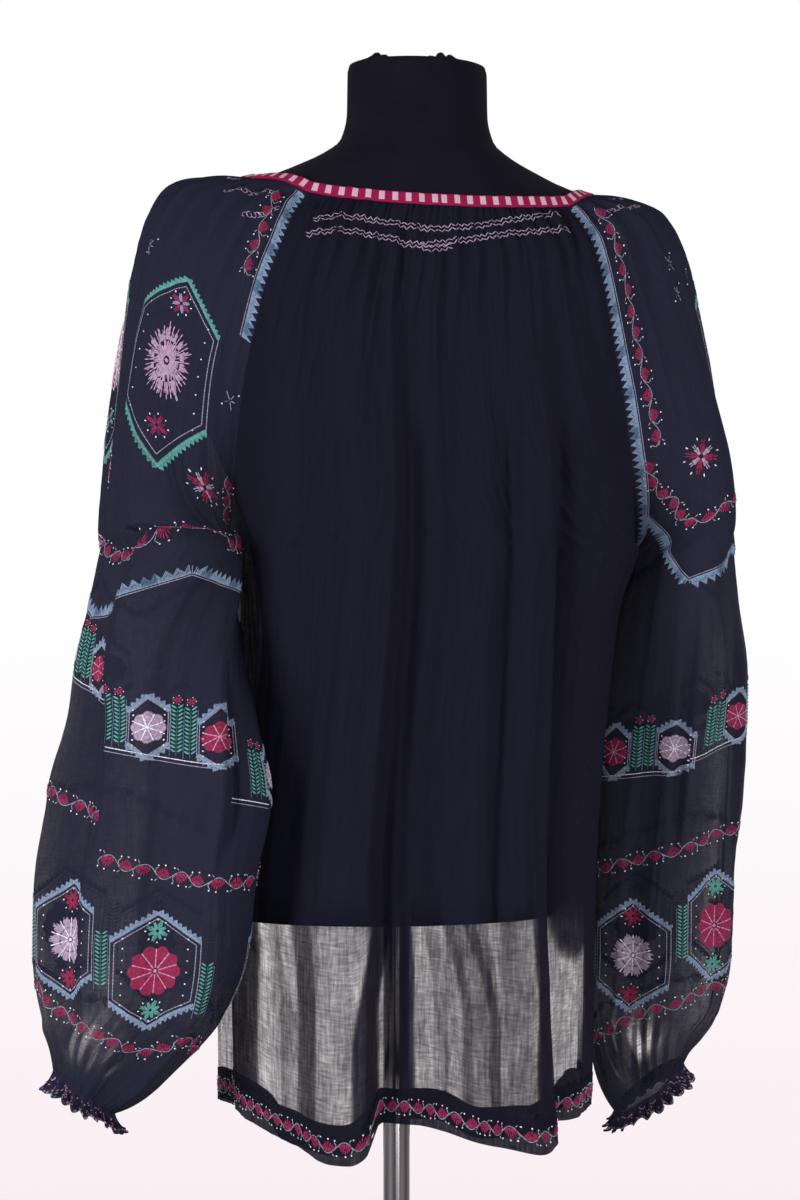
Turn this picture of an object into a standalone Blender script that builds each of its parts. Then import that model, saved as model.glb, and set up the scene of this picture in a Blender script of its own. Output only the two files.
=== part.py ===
"""Gathered raglan blouse of thin cotton, hanging on a limbless dress form with a pole and round base.

Metres, +Z up. The floor is z = 0 under the pole and the back of the blouse faces -Y.
Every cloth piece is a closed wall whose outer skin follows one shared surface.
"""

import math

import bmesh
import bpy
import numpy as np
from mathutils import Vector
from mathutils.bvhtree import BVHTree

CLOTH = 0.0015          # wall of the cloth pieces
BAND = 0.0019           # wall of the doubled hem bands
SEAM = 0.0002           # each piece stops this far short of a seam
REST = 0.0007           # air left between the cloth and the form it rests on
TILT = 0.021            # the shoulders fall this much for each metre toward +X
ASIDE = 0.0175          # and the chest stands this far toward +X of the pole
FORM_FOOT = 0.697       # underside of the form

# Sections of the form, neck to hips: half width, then depth behind and before the axis.
FORM_SECTIONS = (
    # z, half_width, behind, before
    (1.400, 0.0565, 0.0565, 0.0565),
    (1.397, 0.0578, 0.0578, 0.0578),
    (1.360, 0.0585, 0.0585, 0.0580),
    (1.338, 0.0640, 0.0620, 0.0610),
    (1.325, 0.0800, 0.0660, 0.0640),
    (1.313, 0.1040, 0.0710, 0.0670),
    (1.304, 0.1250, 0.0745, 0.0700),
    (1.2985, 0.1430, 0.0765, 0.0715),
    (1.2935, 0.1630, 0.0785, 0.0735),
    (1.283, 0.1830, 0.0825, 0.0760),
    (1.262, 0.1940, 0.0900, 0.0820),
    (1.228, 0.1990, 0.0990, 0.0930),
    (1.180, 0.1980, 0.1070, 0.1080),
    (1.120, 0.1850, 0.1110, 0.1250),
    (1.060, 0.1600, 0.1100, 0.1340),
    (0.990, 0.1360, 0.1010, 0.1240),
    (0.920, 0.1240, 0.0910, 0.1020),
    (0.840, 0.1280, 0.0950, 0.1030),
    (0.770, 0.1350, 0.1000, 0.1050),
    (0.712, 0.1370, 0.0990, 0.1020),
    (FORM_FOOT, 0.1340, 0.0930, 0.0960),
)
FORM_SIDES = 36

# The yoke, from the neckline (level 0) to the underarm point (level 1).
# Centre back, back raglan seam, top of the sleeve, front raglan seam, centre front.
# The left seams stand shift_x and shift_y away from the mirror image of the right ones.
YOKE_BACK = (
    # level, centre_y, centre_z, raglan_x, raglan_y, raglan_z
    (0.00, -0.0870, 1.2750, 0.112, -0.0650, 1.2815),
    (0.08, -0.0920, 1.2580, 0.120, -0.0765, 1.2675),
    (0.20, -0.0990, 1.2320, 0.128, -0.0890, 1.2460),
    (0.40, -0.1090, 1.1820, 0.137, -0.0990, 1.1940),
    (0.60, -0.1150, 1.1250, 0.148, -0.0980, 1.1370),
    (0.80, -0.1200, 1.0650, 0.162, -0.0830, 1.0700),
    (0.93, -0.1240, 1.0200, 0.177, -0.0450, 1.0200),
    (1.00, -0.1260, 1.0000, 0.185, 0.0000, 1.0000),
)
YOKE_FRONT = (
    (0.00, 0.0870, 1.2330, 0.110, 0.0550, 1.2750),
    (0.08, 0.0950, 1.2130, 0.118, 0.0700, 1.2560),
    (0.20, 0.1080, 1.1850, 0.126, 0.0880, 1.2290),
    (0.40, 0.1280, 1.1380, 0.135, 0.1040, 1.1790),
    (0.60, 0.1390, 1.0950, 0.146, 0.1050, 1.1260),
    (0.80, 0.1450, 1.0500, 0.160, 0.0860, 1.0640),
    (0.93, 0.1480, 1.0150, 0.176, 0.0460, 1.0180),
    (1.00, 0.1490, 1.0000, 0.185, 0.0000, 1.0000),
)
YOKE_SLEEVE = (
    # level, top_x, top_y, top_z, reach_at_seam, reach_at_top, body_turn, sleeve_turn
    (0.00, 0.1485, -0.002, 1.2995, 0.024, 0.024, 31, 31),
    (0.08, 0.1720, 0.000, 1.2975, 0.030, 0.035, 30, 30),
    (0.20, 0.2025, 0.000, 1.2880, 0.036, 0.045, 28, 28),
    (0.40, 0.2275, 0.000, 1.2475, 0.045, 0.060, 25, 22),
    (0.60, 0.2405, 0.000, 1.1850, 0.055, 0.072, 28, 12),
    (0.80, 0.2500, 0.000, 1.1050, 0.075, 0.090, 48, -15),
    (0.93, 0.2575, 0.000, 1.0350, 0.092, 0.112, 75, -58),
    (1.00, 0.2625, 0.000, 1.0000, 0.125, 0.125, 90, -90),
)
LEFT_SHIFT = (
    # level, shift_x, shift_y
    (0.00, 0.008, 0.000),
    (0.08, 0.004, 0.000),
    (0.20, 0.001, 0.000),
    (0.40, -0.010, 0.000),
    (0.60, -0.012, 0.000),
    (0.80, -0.004, -0.002),
    (0.93, 0.012, -0.014),
    (1.00, 0.023, -0.024),
)
UNDERARM_Z = 1.0
WRIST_SLOPE = 0.75      # the gathered wrist stands this much higher on its outer side

# The body below the underarm; drop runs from 0 at the underarm to 1 at the hem.
BODY = (
    # drop, left_x, left_y, right_x, right_y, back_y, front_y
    (0.00, -0.161, -0.024, 0.184, 0.000, -0.126, 0.149),
    (0.12, -0.148, -0.018, 0.166, 0.000, -0.128, 0.150),
    (0.30, -0.142, -0.010, 0.162, 0.002, -0.131, 0.149),
    (0.60, -0.141, 0.000, 0.161, 0.004, -0.135, 0.147),
    (1.00, -0.1365, 0.004, 0.157, 0.006, -0.139, 0.146),
)
SQUARE_TOP = 0.40       # how far the section is squared, as a share of its half width, at the neck
SQUARE = 0.62           # and from the chest down
REACH_NECK = 0.33       # how far a row runs on straight from its seam, as a share of its half
REACH_CHEST = 0.05      # more of that further down
REACH_UNDERARM = 0.12   # and again where the row turns under the arm

# Sleeve sections below the underarm. The long half axis runs from the inner seam outward;
# turn swings the inner end toward the back of the blouse, in degrees.
SLEEVE_RIGHT = (
    # z, centre_x, centre_y, half_long, half_deep, turn
    (1.000, 0.2235, 0.000, 0.0375, 0.094, 0),
    (0.960, 0.2240, 0.006, 0.0460, 0.088, 0),
    (0.900, 0.2280, 0.016, 0.0560, 0.079, 0),
    (0.820, 0.2330, 0.028, 0.0610, 0.068, 0),
    (0.740, 0.2350, 0.034, 0.0620, 0.063, 0),
    (0.660, 0.2350, 0.036, 0.0600, 0.061, 0),
    (0.610, 0.2310, 0.038, 0.0560, 0.056, 0),
    (0.575, 0.2290, 0.040, 0.0460, 0.046, 0),
    (0.541, 0.2300, 0.040, 0.0300, 0.026, 0),
)
SLEEVE_LEFT = (
    (1.000, -0.2125, -0.024, 0.0505, 0.094, 0),
    (0.960, -0.2110, -0.034, 0.0570, 0.085, 12),
    (0.900, -0.2140, -0.059, 0.0670, 0.064, 23),
    (0.860, -0.2120, -0.077, 0.0770, 0.050, 28),
    (0.800, -0.2120, -0.087, 0.0930, 0.043, 31),
    (0.740, -0.2200, -0.088, 0.0920, 0.043, 31),
    (0.680, -0.2230, -0.084, 0.0880, 0.046, 29),
    (0.630, -0.2280, -0.076, 0.0720, 0.046, 25),
    (0.595, -0.2480, -0.063, 0.0460, 0.040, 16),
    (0.568, -0.2650, -0.057, 0.0240, 0.023, 8),
)

# Hem height along each panel, by distance from the wearer's centre line.
HEM_BACK = (
    # x, z
    (-0.160, 0.5680), (-0.130, 0.5440), (-0.097, 0.5280), (-0.060, 0.5200), (-0.050, 0.5260),
    (-0.042, 0.5480), (-0.018, 0.5470), (0.010, 0.5400), (0.036, 0.5310), (0.060, 0.5250),
    (0.080, 0.5210), (0.092, 0.5290), (0.100, 0.5400), (0.122, 0.5410), (0.160, 0.5440),
)
HEM_FRONT = (
    (-0.160, 0.5600), (-0.135, 0.5420), (-0.120, 0.5340), (-0.100, 0.5140), (-0.080, 0.4980),
    (-0.060, 0.4850), (-0.036, 0.4740), (-0.008, 0.4700), (0.006, 0.4820), (0.019, 0.4990),
    (0.036, 0.5035), (0.057, 0.4998), (0.078, 0.4950), (0.107, 0.4865), (0.130, 0.4890),
    (0.146, 0.5080), (0.160, 0.5440),
)
HEM_BAND = 0.027        # depth of the doubled hem

# Main folds of the body: where each line stands at the chest and at the hem, and how far out.
FOLDS_BACK = (
    # x_chest, x_hem, out_chest, out_hem
    (-0.175, -0.156, 0.000, 0.000),
    (-0.128, -0.124, 0.004, 0.010),
    (-0.100, -0.102, 0.000, 0.004),
    (-0.074, -0.068, 0.006, 0.030),
    (-0.047, -0.052, 0.006, 0.030),
    (-0.034, -0.042, 0.000, -0.008),
    (-0.012, -0.020, 0.003, 0.000),
    (0.010, 0.006, 0.000, -0.008),
    (0.030, 0.036, 0.003, 0.008),
    (0.046, 0.054, 0.001, 0.006),
    (0.060, 0.074, 0.006, 0.024),
    (0.074, 0.090, 0.006, 0.023),
    (0.086, 0.101, 0.000, -0.009),
    (0.110, 0.120, 0.003, 0.000),
    (0.175, 0.158, 0.000, 0.000),
)
FOLDS_FRONT = (
    (-0.175, -0.156, 0.000, 0.000),
    (-0.120, -0.124, 0.003, 0.012),
    (-0.094, -0.092, 0.000, -0.008),
    (-0.064, -0.058, 0.004, 0.018),
    (-0.030, -0.030, 0.000, -0.006),
    (0.000, 0.002, 0.003, 0.015),
    (0.034, 0.036, 0.000, -0.008),
    (0.064, 0.066, 0.004, 0.020),
    (0.094, 0.096, 0.000, -0.006),
    (0.122, 0.126, 0.003, 0.011),
    (0.175, 0.158, 0.000, 0.000),
)
# Main folds of the sleeves, by share of the way round from the back seam to the front seam.
FOLDS_SLEEVE = {
    "left": (
        # share, out_top, out_low
        (0.00, 0.000, 0.000), (0.09, 0.002, 0.005), (0.17, 0.000, -0.002), (0.26, 0.003, 0.008),
        (0.31, 0.003, 0.008), (0.36, -0.002, -0.010), (0.45, 0.002, 0.002), (0.54, 0.000, -0.004),
        (0.64, 0.003, 0.007), (0.74, 0.000, -0.005), (0.84, 0.003, 0.006), (0.93, 0.000, -0.002),
        (1.00, 0.000, 0.000),
    ),
    "right": (
        (0.00, 0.000, 0.000), (0.08, 0.002, 0.004), (0.16, 0.000, -0.003), (0.25, 0.003, 0.006),
        (0.33, 0.000, -0.003), (0.40, 0.003, 0.005), (0.49, 0.000, -0.004), (0.58, 0.003, 0.006),
        (0.68, 0.000, -0.004), (0.79, 0.003, 0.006), (0.90, 0.000, -0.003), (1.00, 0.000, 0.000),
    ),
}

# Gathers at the neckline: how many on each piece and how high they stand on the way down.
GATHERS = {"back": 16, "front": 16, "sleeve": 12}
GATHER_FADE = 0.05      # share of a row, at each seam, over which the gathers die away
FOLD_FADE = 0.08        # and the main folds of the body
WRIST_FOLDS = 0.25      # share of a sleeve's folds that is left where it is drawn in at the wrist
GATHER_HEIGHT = (
    # level, height
    (0.00, 0.0012), (0.04, 0.0026), (0.12, 0.0036), (0.25, 0.0026), (0.42, 0.0000), (2.00, 0.0),
)

NECK_TAPE_DEEP = 0.0080
NECK_TAPE_THICK = 0.0022
NECK_TAPE_GAP = 0.0018  # between the tape and the gathered edges below it
TAPE_COLUMNS = 96

RUFFLE_DEEP = 0.015
RUFFLE_WAVES = 20
RUFFLE_SWING = 0.0035   # how far the waves of the cuff swing at the free edge
RUFFLE_FLARE = 0.006
RUFFLE_WAIST = 0.002    # how far the gathering line draws in

# Rows of each piece: levels 0 to 1 on the yoke, 1 to 2 below the underarm.
ROWS_YOKE = (0, 0.05, 0.11, 0.19, 0.29, 0.42, 0.56, 0.70, 0.82, 0.92, 1.0)
ROWS_BODY = ROWS_YOKE + (1.10, 1.25, 1.44, 1.64, 1.84, 2.0)
ROWS_SLEEVE = ROWS_YOKE + (1.09, 1.20, 1.32, 1.45, 1.58, 1.70, 1.80, 1.88, 1.95, 2.0)
FINE_ROWS = 5           # rows above this one carry twice as many columns, for the gathers
BODY_COLUMNS = 32
SLEEVE_COLUMNS = 24

POLE_RADIUS = 0.011
BASE_RADIUS = 0.160
BASE_THICK = 0.009


def curve(rows, at):
    """Smooth values of a table at a key, following the rows without overshooting them."""
    rows = np.asarray(rows, float)
    keys, values = rows[:, 0], rows[:, 1:]
    slopes = np.diff(values, axis=0) / np.diff(keys)[:, None]
    ends = np.zeros_like(values)
    ends[0], ends[-1] = slopes[0], slopes[-1]
    same = slopes[:-1] * slopes[1:] > 0
    total = np.where(same, slopes[:-1] + slopes[1:], 1.0)
    ends[1:-1] = np.where(same, 2 * slopes[:-1] * slopes[1:] / total, 0.0)
    at = min(max(at, keys[0]), keys[-1])
    i = min(int(np.searchsorted(keys, at, side="right")) - 1, len(keys) - 2)
    span = keys[i + 1] - keys[i]
    t = (at - keys[i]) / span
    return ((2 * t**3 - 3 * t**2 + 1) * values[i] + (t**3 - 2 * t**2 + t) * span * ends[i]
            + (3 * t**2 - 2 * t**3) * values[i + 1] + (t**3 - t**2) * span * ends[i + 1])


def ease(t):
    t = min(max(t, 0.0), 1.0)
    return t * t * (3 - 2 * t)


def bend(p0, p1, p2, p3, steps=48):
    """Points of a cubic curve."""
    t = np.linspace(0, 1, steps + 1)[:, None]
    return (1 - t)**3 * p0 + 3 * (1 - t)**2 * t * p1 + 3 * (1 - t) * t**2 * p2 + t**3 * p3


def even(path, count):
    """The path again as count + 1 points evenly spaced along it."""
    far = np.concatenate([[0], np.cumsum(np.linalg.norm(np.diff(path, axis=0), axis=1))])
    at = np.linspace(0, far[-1], count + 1)
    return np.stack([np.interp(at, far, path[:, k]) for k in range(3)], axis=1)


def heading(degrees):
    a = math.radians(degrees)
    return np.array([math.cos(a), math.sin(a), 0.0])


def raise_to(path, start_z, end_z, power):
    """Gives a flat path heights that run from start to end."""
    t = np.linspace(0, 1, len(path))
    path = path.copy()
    path[:, 2] = start_z + (end_z - start_z) * power(t)
    return path


def raglan(side, body, level):
    """The point of a raglan seam at a level: side -1 or 1 of the back (-1) or front (1)."""
    x, y, z = curve(YOKE_BACK if body < 0 else YOKE_FRONT, level)[2:]
    shift = curve(LEFT_SHIFT, level) if side < 0 else (0, 0)
    return np.array([side * x + shift[0], y + shift[1], z])


def body_row(side, level, count):
    """One row of the back (side -1) or front (side 1) panel, from -X to +X."""
    if level < 1:
        cy, cz = curve(YOKE_BACK if side < 0 else YOKE_FRONT, level)[:2]
        turn = curve(YOKE_SLEEVE, level)[5]
        ends = [raglan(-1, side, level), raglan(1, side, level)]
    else:
        lx, ly, rx, ry, back_y, front_y = curve(BODY, level - 1)
        cy, cz, turn = (back_y if side < 0 else front_y), UNDERARM_Z, 90
        ends = [np.array([lx, ly, cz]), np.array([rx, ry, cz])]
    halves = []
    for seam, sign in zip(ends, (-1, 1)):
        flat_seam, centre = seam * (1, 1, 0), np.array([0.0, cy, 0.0])
        chord = np.linalg.norm(flat_seam - centre)
        square = SQUARE_TOP + (SQUARE - SQUARE_TOP) * ease(level * 1.2)
        reach = REACH_NECK + REACH_CHEST * ease(level) + REACH_UNDERARM * ease((level - 0.92) / 0.08)
        path = bend(centre, centre + np.array([square * flat_seam[0], 0, 0]),
                    flat_seam - heading(turn) * (sign, -side, 1) * chord * reach, flat_seam)
        halves.append(raise_to(path, cz, seam[2], np.square))
    row = even(np.concatenate([halves[0][::-1], halves[1][1:]]), count)
    if level > 1:
        hem = HEM_BACK if side < 0 else HEM_FRONT
        floor = np.array([curve(hem, x)[0] for x in row[:, 0]])
        row[:, 2] = UNDERARM_Z + (floor - UNDERARM_Z) * (level - 1)
    return row


def sleeve_row(side, level, count):
    """One row of a sleeve, from its back seam round the outside to its front seam."""
    if level < 1:
        back, front = raglan(side, -1, level), raglan(side, 1, level)
        tx, ty, tz, near, far, _, turn = curve(YOKE_SLEEVE, level)
        top, along = np.array([side * tx, ty, tz]), np.array([0, far, 0])
        out = heading(turn) * (side, 1, 1) * near
        first = bend(back, back + out, top - along, top)
        last = bend(top, top + along, front + out * (1, -1, 1), front)
        first = raise_to(first, back[2], tz, lambda t: 1 - (1 - t)**2)
        last = raise_to(last, tz, front[2], np.square)
        path = np.concatenate([first, last[1:]])
    else:
        rows = SLEEVE_RIGHT if side > 0 else SLEEVE_LEFT
        z = UNDERARM_Z + (rows[-1][0] - UNDERARM_Z) * (level - 1)
        cx, cy, half_long, half_deep, turn = curve(tuple(reversed(rows)), z)
        outward = heading(side * turn) * side
        deep = np.array([-outward[1], outward[0], 0]) * side
        centre = np.array([cx, cy, 0])
        inner, outer = centre - outward * half_long, centre + outward * half_long
        reach = deep * half_deep * 4 / 3
        path = np.concatenate([bend(inner, inner - reach, outer - reach, outer),
                               bend(outer, outer + reach, inner + reach, inner)[1:]])
        path[:, 2] = z + WRIST_SLOPE * side * (path[:, 0] - cx) * ease((level - 1.8) / 0.2)**2
    return even(path, count)


def skin_normals(grid, closed_from=None):
    """Unit normals of a grid of points; rows from closed_from on are rings."""
    down = np.gradient(grid, axis=0)
    across = np.gradient(grid, axis=1)
    if closed_from is not None:
        ring = (grid[closed_from:, 1] - grid[closed_from:, -2]) / 2
        across[closed_from:, 0] = across[closed_from:, -1] = ring
    normal = np.cross(across, down)
    return normal / np.linalg.norm(normal, axis=2)[..., None]


def fold_at(folds, key, share):
    """Height of a fold table at a key; share blends its first and last columns."""
    table = np.asarray(folds, float)
    if table.shape[1] == 4:
        keys = table[:, 0] + (table[:, 1] - table[:, 0]) * share
        out = table[:, 2] + (table[:, 3] - table[:, 2]) * share
    else:
        keys, out = table[:, 0], table[:, 1] + (table[:, 2] - table[:, 1]) * share
    i = min(max(int(np.searchsorted(keys, key)) - 1, 0), len(keys) - 2)
    return out[i] + (out[i + 1] - out[i]) * ease((key - keys[i]) / (keys[i + 1] - keys[i]))


def swell(kind, rows, grid, normals, side):
    """Adds gathers and main folds to a grid, all standing outward from it."""
    out = grid.copy()
    columns = grid.shape[1] - 1
    for r, level in enumerate(rows):
        height = curve(GATHER_HEIGHT, level)[0]
        share = ease((level - 0.25) / 1.75) if kind == "sleeve" else min(max(level - 0.5, 0) / 1.5, 1)
        for c in range(columns + 1):
            s = c / columns
            edge = ease(min(s, 1 - s) / GATHER_FADE)
            phase = s * GATHERS[kind] + 0.12 * math.sin(9.0 * s + 1.3 * side)
            lift = height * (0.5 - 0.5 * math.cos(math.tau * phase)) * edge
            if kind == "sleeve":
                wrist = 1 - ease((level - 1.78) / 0.2)
                fold = fold_at(FOLDS_SLEEVE["right" if side > 0 else "left"], s, share)
                lift += fold * ease((level - 0.25) / 0.5) * (WRIST_FOLDS + (1 - WRIST_FOLDS) * wrist)
            else:
                folds = FOLDS_BACK if kind == "back" else FOLDS_FRONT
                fold = fold_at(folds, grid[r, c, 0], share) * ease((level - 0.12) / 0.4)
                lift += fold * ease(min(s, 1 - s) / FOLD_FADE)
            out[r, c] += normals[r, c] * lift
    return out


# Places in a cell of the grid that are kept clear: rows down, columns across, corners meant.
CELL_CHECKS = ((0, 0, 2), (1, 0, 2), (0, 1, 2), (1, 1, 2), (1, 1, 4), (0, 2, 2), (1, 2, 2), (1, 2, 4))


def clear_of(form, grid, air):
    """Moves points out until the corners, edges and middles of the cells clear the form."""
    grid = grid.copy()
    for _ in range(40):
        worst = 0.0
        for high, wide, corners in CELL_CHECKS:
            weights = [(0, 0), (high, wide)] if corners == 2 else [(0, 0), (high, 0), (0, wide), (high, wide)]
            for r in range(FINE_ROWS if wide == 2 else 0, grid.shape[0] - high):
                for c in range(0, grid.shape[1] - wide, max(wide, 1)):
                    point = Vector(np.mean([grid[r + a, c + b] for a, b in weights], axis=0))
                    hit, normal, _, far = form.find_nearest(point)
                    signed = far if (point - hit).dot(normal) > 0 else -far
                    if signed < air - 1e-5:
                        worst = max(worst, air - signed)
                        for a, b in weights:
                            grid[r + a, c + b] += np.array(normal) * (air - signed)
        if worst == 0:
            break
    return grid


def lean(points):
    """The form stands a little out of upright, and what it carries follows."""
    points = np.array(points, float)
    x, z = points[:, 0].copy(), points[:, 2].copy()
    for column, height, change in ((0, 0.35, ASIDE + 0 * x), (2, 0.50, -TILT * x)):
        share = np.clip((z - FORM_FOOT) / height, 0, 1)
        points[:, column] += change * share * share * (3 - 2 * share)
    return points


def material(name, colour, roughness, metallic=0.0):
    made = bpy.data.materials.new(name)
    made.use_nodes = True
    shader = made.node_tree.nodes["Principled BSDF"]
    shader.inputs["Base Color"].default_value = (*colour, 1)
    shader.inputs["Roughness"].default_value = roughness
    shader.inputs["Metallic"].default_value = metallic
    return made


def node(name, points, faces, look, leaning=True):
    """One closed solid under its own name, with its own material."""
    mesh = bpy.data.meshes.new(name)
    mesh.from_pydata([tuple(p) for p in (lean(points) if leaning else points)], [], faces)
    mesh.materials.append(material(name, *look))
    shape = bmesh.new()
    shape.from_mesh(mesh)
    bmesh.ops.remove_doubles(shape, verts=shape.verts, dist=1e-7)
    bmesh.ops.recalc_face_normals(shape, faces=shape.faces)
    if shape.calc_volume(signed=True) < 0:
        bmesh.ops.reverse_faces(shape, faces=shape.faces)
    shape.to_mesh(mesh)
    shape.free()
    bpy.context.scene.collection.objects.link(bpy.data.objects.new(name, mesh))


def wall(name, outer, inner, look, fine_rows=0, closed_from=None):
    """A cloth wall between two grids. Past fine_rows every second column is kept.
    Rows from closed_from on are rings, so the piece is a tube there."""
    rows, columns = outer.shape[:2]
    points, index = [], {}
    for r in range(rows):
        step = 1 if r <= fine_rows or not fine_rows else 2
        for c in range(0, columns, step):
            ring = closed_from is not None and r >= closed_from and c == columns - 1
            for skin, grid in ((0, outer), (1, inner)):
                if ring:
                    index[skin, r, c] = index[skin, r, 0]
                else:
                    index[skin, r, c] = len(points)
                    points.append(grid[r, c])
    faces = []
    for r in range(rows - 1):
        wide = 1 if r < fine_rows or not fine_rows else 2
        for skin in (0, 1):
            def at(row, column):
                return index[skin, row, column]
            for c in range(0, columns - 1, wide):
                if fine_rows and r == fine_rows:
                    faces += [(at(r, c), at(r, c + 1), at(r + 1, c)),
                              (at(r, c + 1), at(r + 1, c + 2), at(r + 1, c)),
                              (at(r, c + 1), at(r, c + 2), at(r + 1, c + 2))]
                else:
                    faces += [(at(r, c), at(r, c + wide), at(r + 1, c + wide)),
                              (at(r, c), at(r + 1, c + wide), at(r + 1, c))]
        if closed_from is None or r < closed_from:
            for c in (0, columns - 1):
                faces.append((index[0, r, c], index[1, r, c], index[1, r + 1, c], index[0, r + 1, c]))
    for r in (0, rows - 1):
        step = 1 if r <= fine_rows or not fine_rows else 2
        for c in range(0, columns - 1, step):
            faces.append((index[0, r, c], index[1, r, c], index[1, r, c + step], index[0, r, c + step]))
    node(name, points, faces, look)


def drawn_in(grid, sides_to=None, top=True, bottom=True):
    """The grid with its edges pulled back from the seams."""
    grid = grid.copy()
    last = grid.shape[0] if sides_to is None else sides_to
    for edge, beside in ((0, 1), (-1, -2)):
        step = grid[:last, beside] - grid[:last, edge]
        grid[:last, edge] += step / np.linalg.norm(step, axis=1)[:, None] * SEAM
        if (edge == 0 and top) or (edge == -1 and bottom):
            step = grid[beside] - grid[edge]
            grid[edge] += step / np.linalg.norm(step, axis=1)[:, None] * SEAM
    return grid


def form_mesh():
    """The form as rings of points, with a flat top and a flat underside."""
    points, faces = [], []
    for z, wide, behind, before in FORM_SECTIONS:
        for k in range(FORM_SIDES):
            a = math.tau * k / FORM_SIDES
            x, y = math.sin(a), math.cos(a)
            points.append((wide * x, (before if y > 0 else behind) * y, z))
    n = FORM_SIDES
    for r in range(len(FORM_SECTIONS) - 1):
        for k in range(n):
            j = (k + 1) % n
            faces += [(r * n + k, r * n + j, (r + 1) * n + j), (r * n + k, (r + 1) * n + j, (r + 1) * n + k)]
    faces.append(tuple(reversed(range(n))))
    faces.append(tuple(range(len(points) - n, len(points))))
    return points, faces


def round_solid(name, rings, look, sides=48):
    """A solid of revolution about the pole, from (radius, z) rings."""
    points, faces = [], []
    for radius, z in rings:
        points += [(radius * math.cos(math.tau * k / sides), radius * math.sin(math.tau * k / sides), z)
                   for k in range(sides)]
    for r in range(len(rings) - 1):
        faces += [(r * sides + k, r * sides + (k + 1) % sides,
                   (r + 1) * sides + (k + 1) % sides, (r + 1) * sides + k) for k in range(sides)]
    faces += [tuple(range(sides)), tuple(range(len(points) - sides, len(points)))]
    node(name, points, faces, look, leaning=False)


for thing in list(bpy.data.objects):
    bpy.data.objects.remove(thing)

NAVY = ((0.010, 0.010, 0.020), 0.85)
BLACK = ((0.008, 0.008, 0.012), 0.90)
TAPE = ((0.55, 0.22, 0.32), 0.80)
LILAC = ((0.22, 0.17, 0.24), 0.85)
CHROME = ((0.62, 0.62, 0.64), 0.12, 1.0)

# The form, its pole and its base.
form_points, form_faces = form_mesh()
node("form_torso", form_points, form_faces, BLACK)
form = BVHTree.FromPolygons([Vector(p) for p in form_points], form_faces)
round_solid("stand_pole", ((POLE_RADIUS, BASE_THICK + 2 * SEAM), (POLE_RADIUS, FORM_FOOT - 2 * SEAM)),
            CHROME, sides=24)
round_solid("stand_base", ((BASE_RADIUS, 0), (BASE_RADIUS, BASE_THICK - 0.003),
                           (BASE_RADIUS - 0.003, BASE_THICK), (0.02, BASE_THICK)), CHROME)

# Base surfaces of the four cloth sheets: rows, points and outward normals.
UNDERARM = ROWS_YOKE.index(1.0)


def body_sheet(side):
    grid = np.array([body_row(side, level, 2 * BODY_COLUMNS) for level in ROWS_BODY])
    return ROWS_BODY, grid, skin_normals(grid) * side


def sleeve_sheet(side):
    grid = np.array([sleeve_row(side, level, 2 * SLEEVE_COLUMNS) for level in ROWS_SLEEVE])
    return ROWS_SLEEVE, grid, skin_normals(grid, UNDERARM) * -side


sheets = {"back": body_sheet(-1), "front": body_sheet(1), "left": sleeve_sheet(-1), "right": sleeve_sheet(1)}
SIDE = {"back": -1, "front": 1, "left": -1, "right": 1}
RAGLAN_SEAMS = (("back", 0, "left", 0), ("back", -1, "right", 0),
                ("front", 0, "left", -1), ("front", -1, "right", -1))

# The sheets share their normals along the raglan seams, and then their places too.
for body, at_body, sleeve, at_sleeve in RAGLAN_SEAMS:
    mean = sheets[body][2][:UNDERARM, at_body] + sheets[sleeve][2][:UNDERARM, at_sleeve]
    mean /= np.linalg.norm(mean, axis=1)[:, None]
    sheets[body][2][:UNDERARM, at_body] = sheets[sleeve][2][:UNDERARM, at_sleeve] = mean
inner_skins = {}
for key, (rows, grid, normals) in sheets.items():
    kind = key if key in GATHERS else "sleeve"
    inner_skins[key] = clear_of(form, swell(kind, rows, grid - normals * CLOTH, normals, SIDE[key]), REST)
for body, at_body, sleeve, at_sleeve in RAGLAN_SEAMS:
    mean = (inner_skins[body][:UNDERARM, at_body] + inner_skins[sleeve][:UNDERARM, at_sleeve]) / 2
    inner_skins[body][:UNDERARM, at_body] = inner_skins[sleeve][:UNDERARM, at_sleeve] = mean

for key in ("back", "front"):
    normals = sheets[key][2]
    inner = inner_skins[key]
    outer = inner + normals * CLOTH
    # The hem band starts a set depth above the hem, column by column.
    rise = outer[-2] - outer[-1]
    top = outer[-1] + rise * (HEM_BAND / np.linalg.norm(rise, axis=1))[:, None]
    top_inner = top - (outer[-1] - inner[-1])
    panel_outer = drawn_in(np.concatenate([outer[:-1], top[None]]))
    panel_inner = drawn_in(np.concatenate([inner[:-1], top_inner[None]]))
    wall(key + "_panel", panel_outer, panel_inner, NAVY, fine_rows=FINE_ROWS)
    band = np.array([top, (top + outer[-1]) / 2, outer[-1]])
    thicker = normals[-1][None] * (BAND - CLOTH) / 2
    band_inner = band - (outer[-1] - inner[-1])[None] - thicker
    band, band_inner = drawn_in(band + thicker, bottom=False), drawn_in(band_inner, bottom=False)
    wall("hem_band_" + key, band[:, ::2], band_inner[:, ::2], NAVY)

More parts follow.
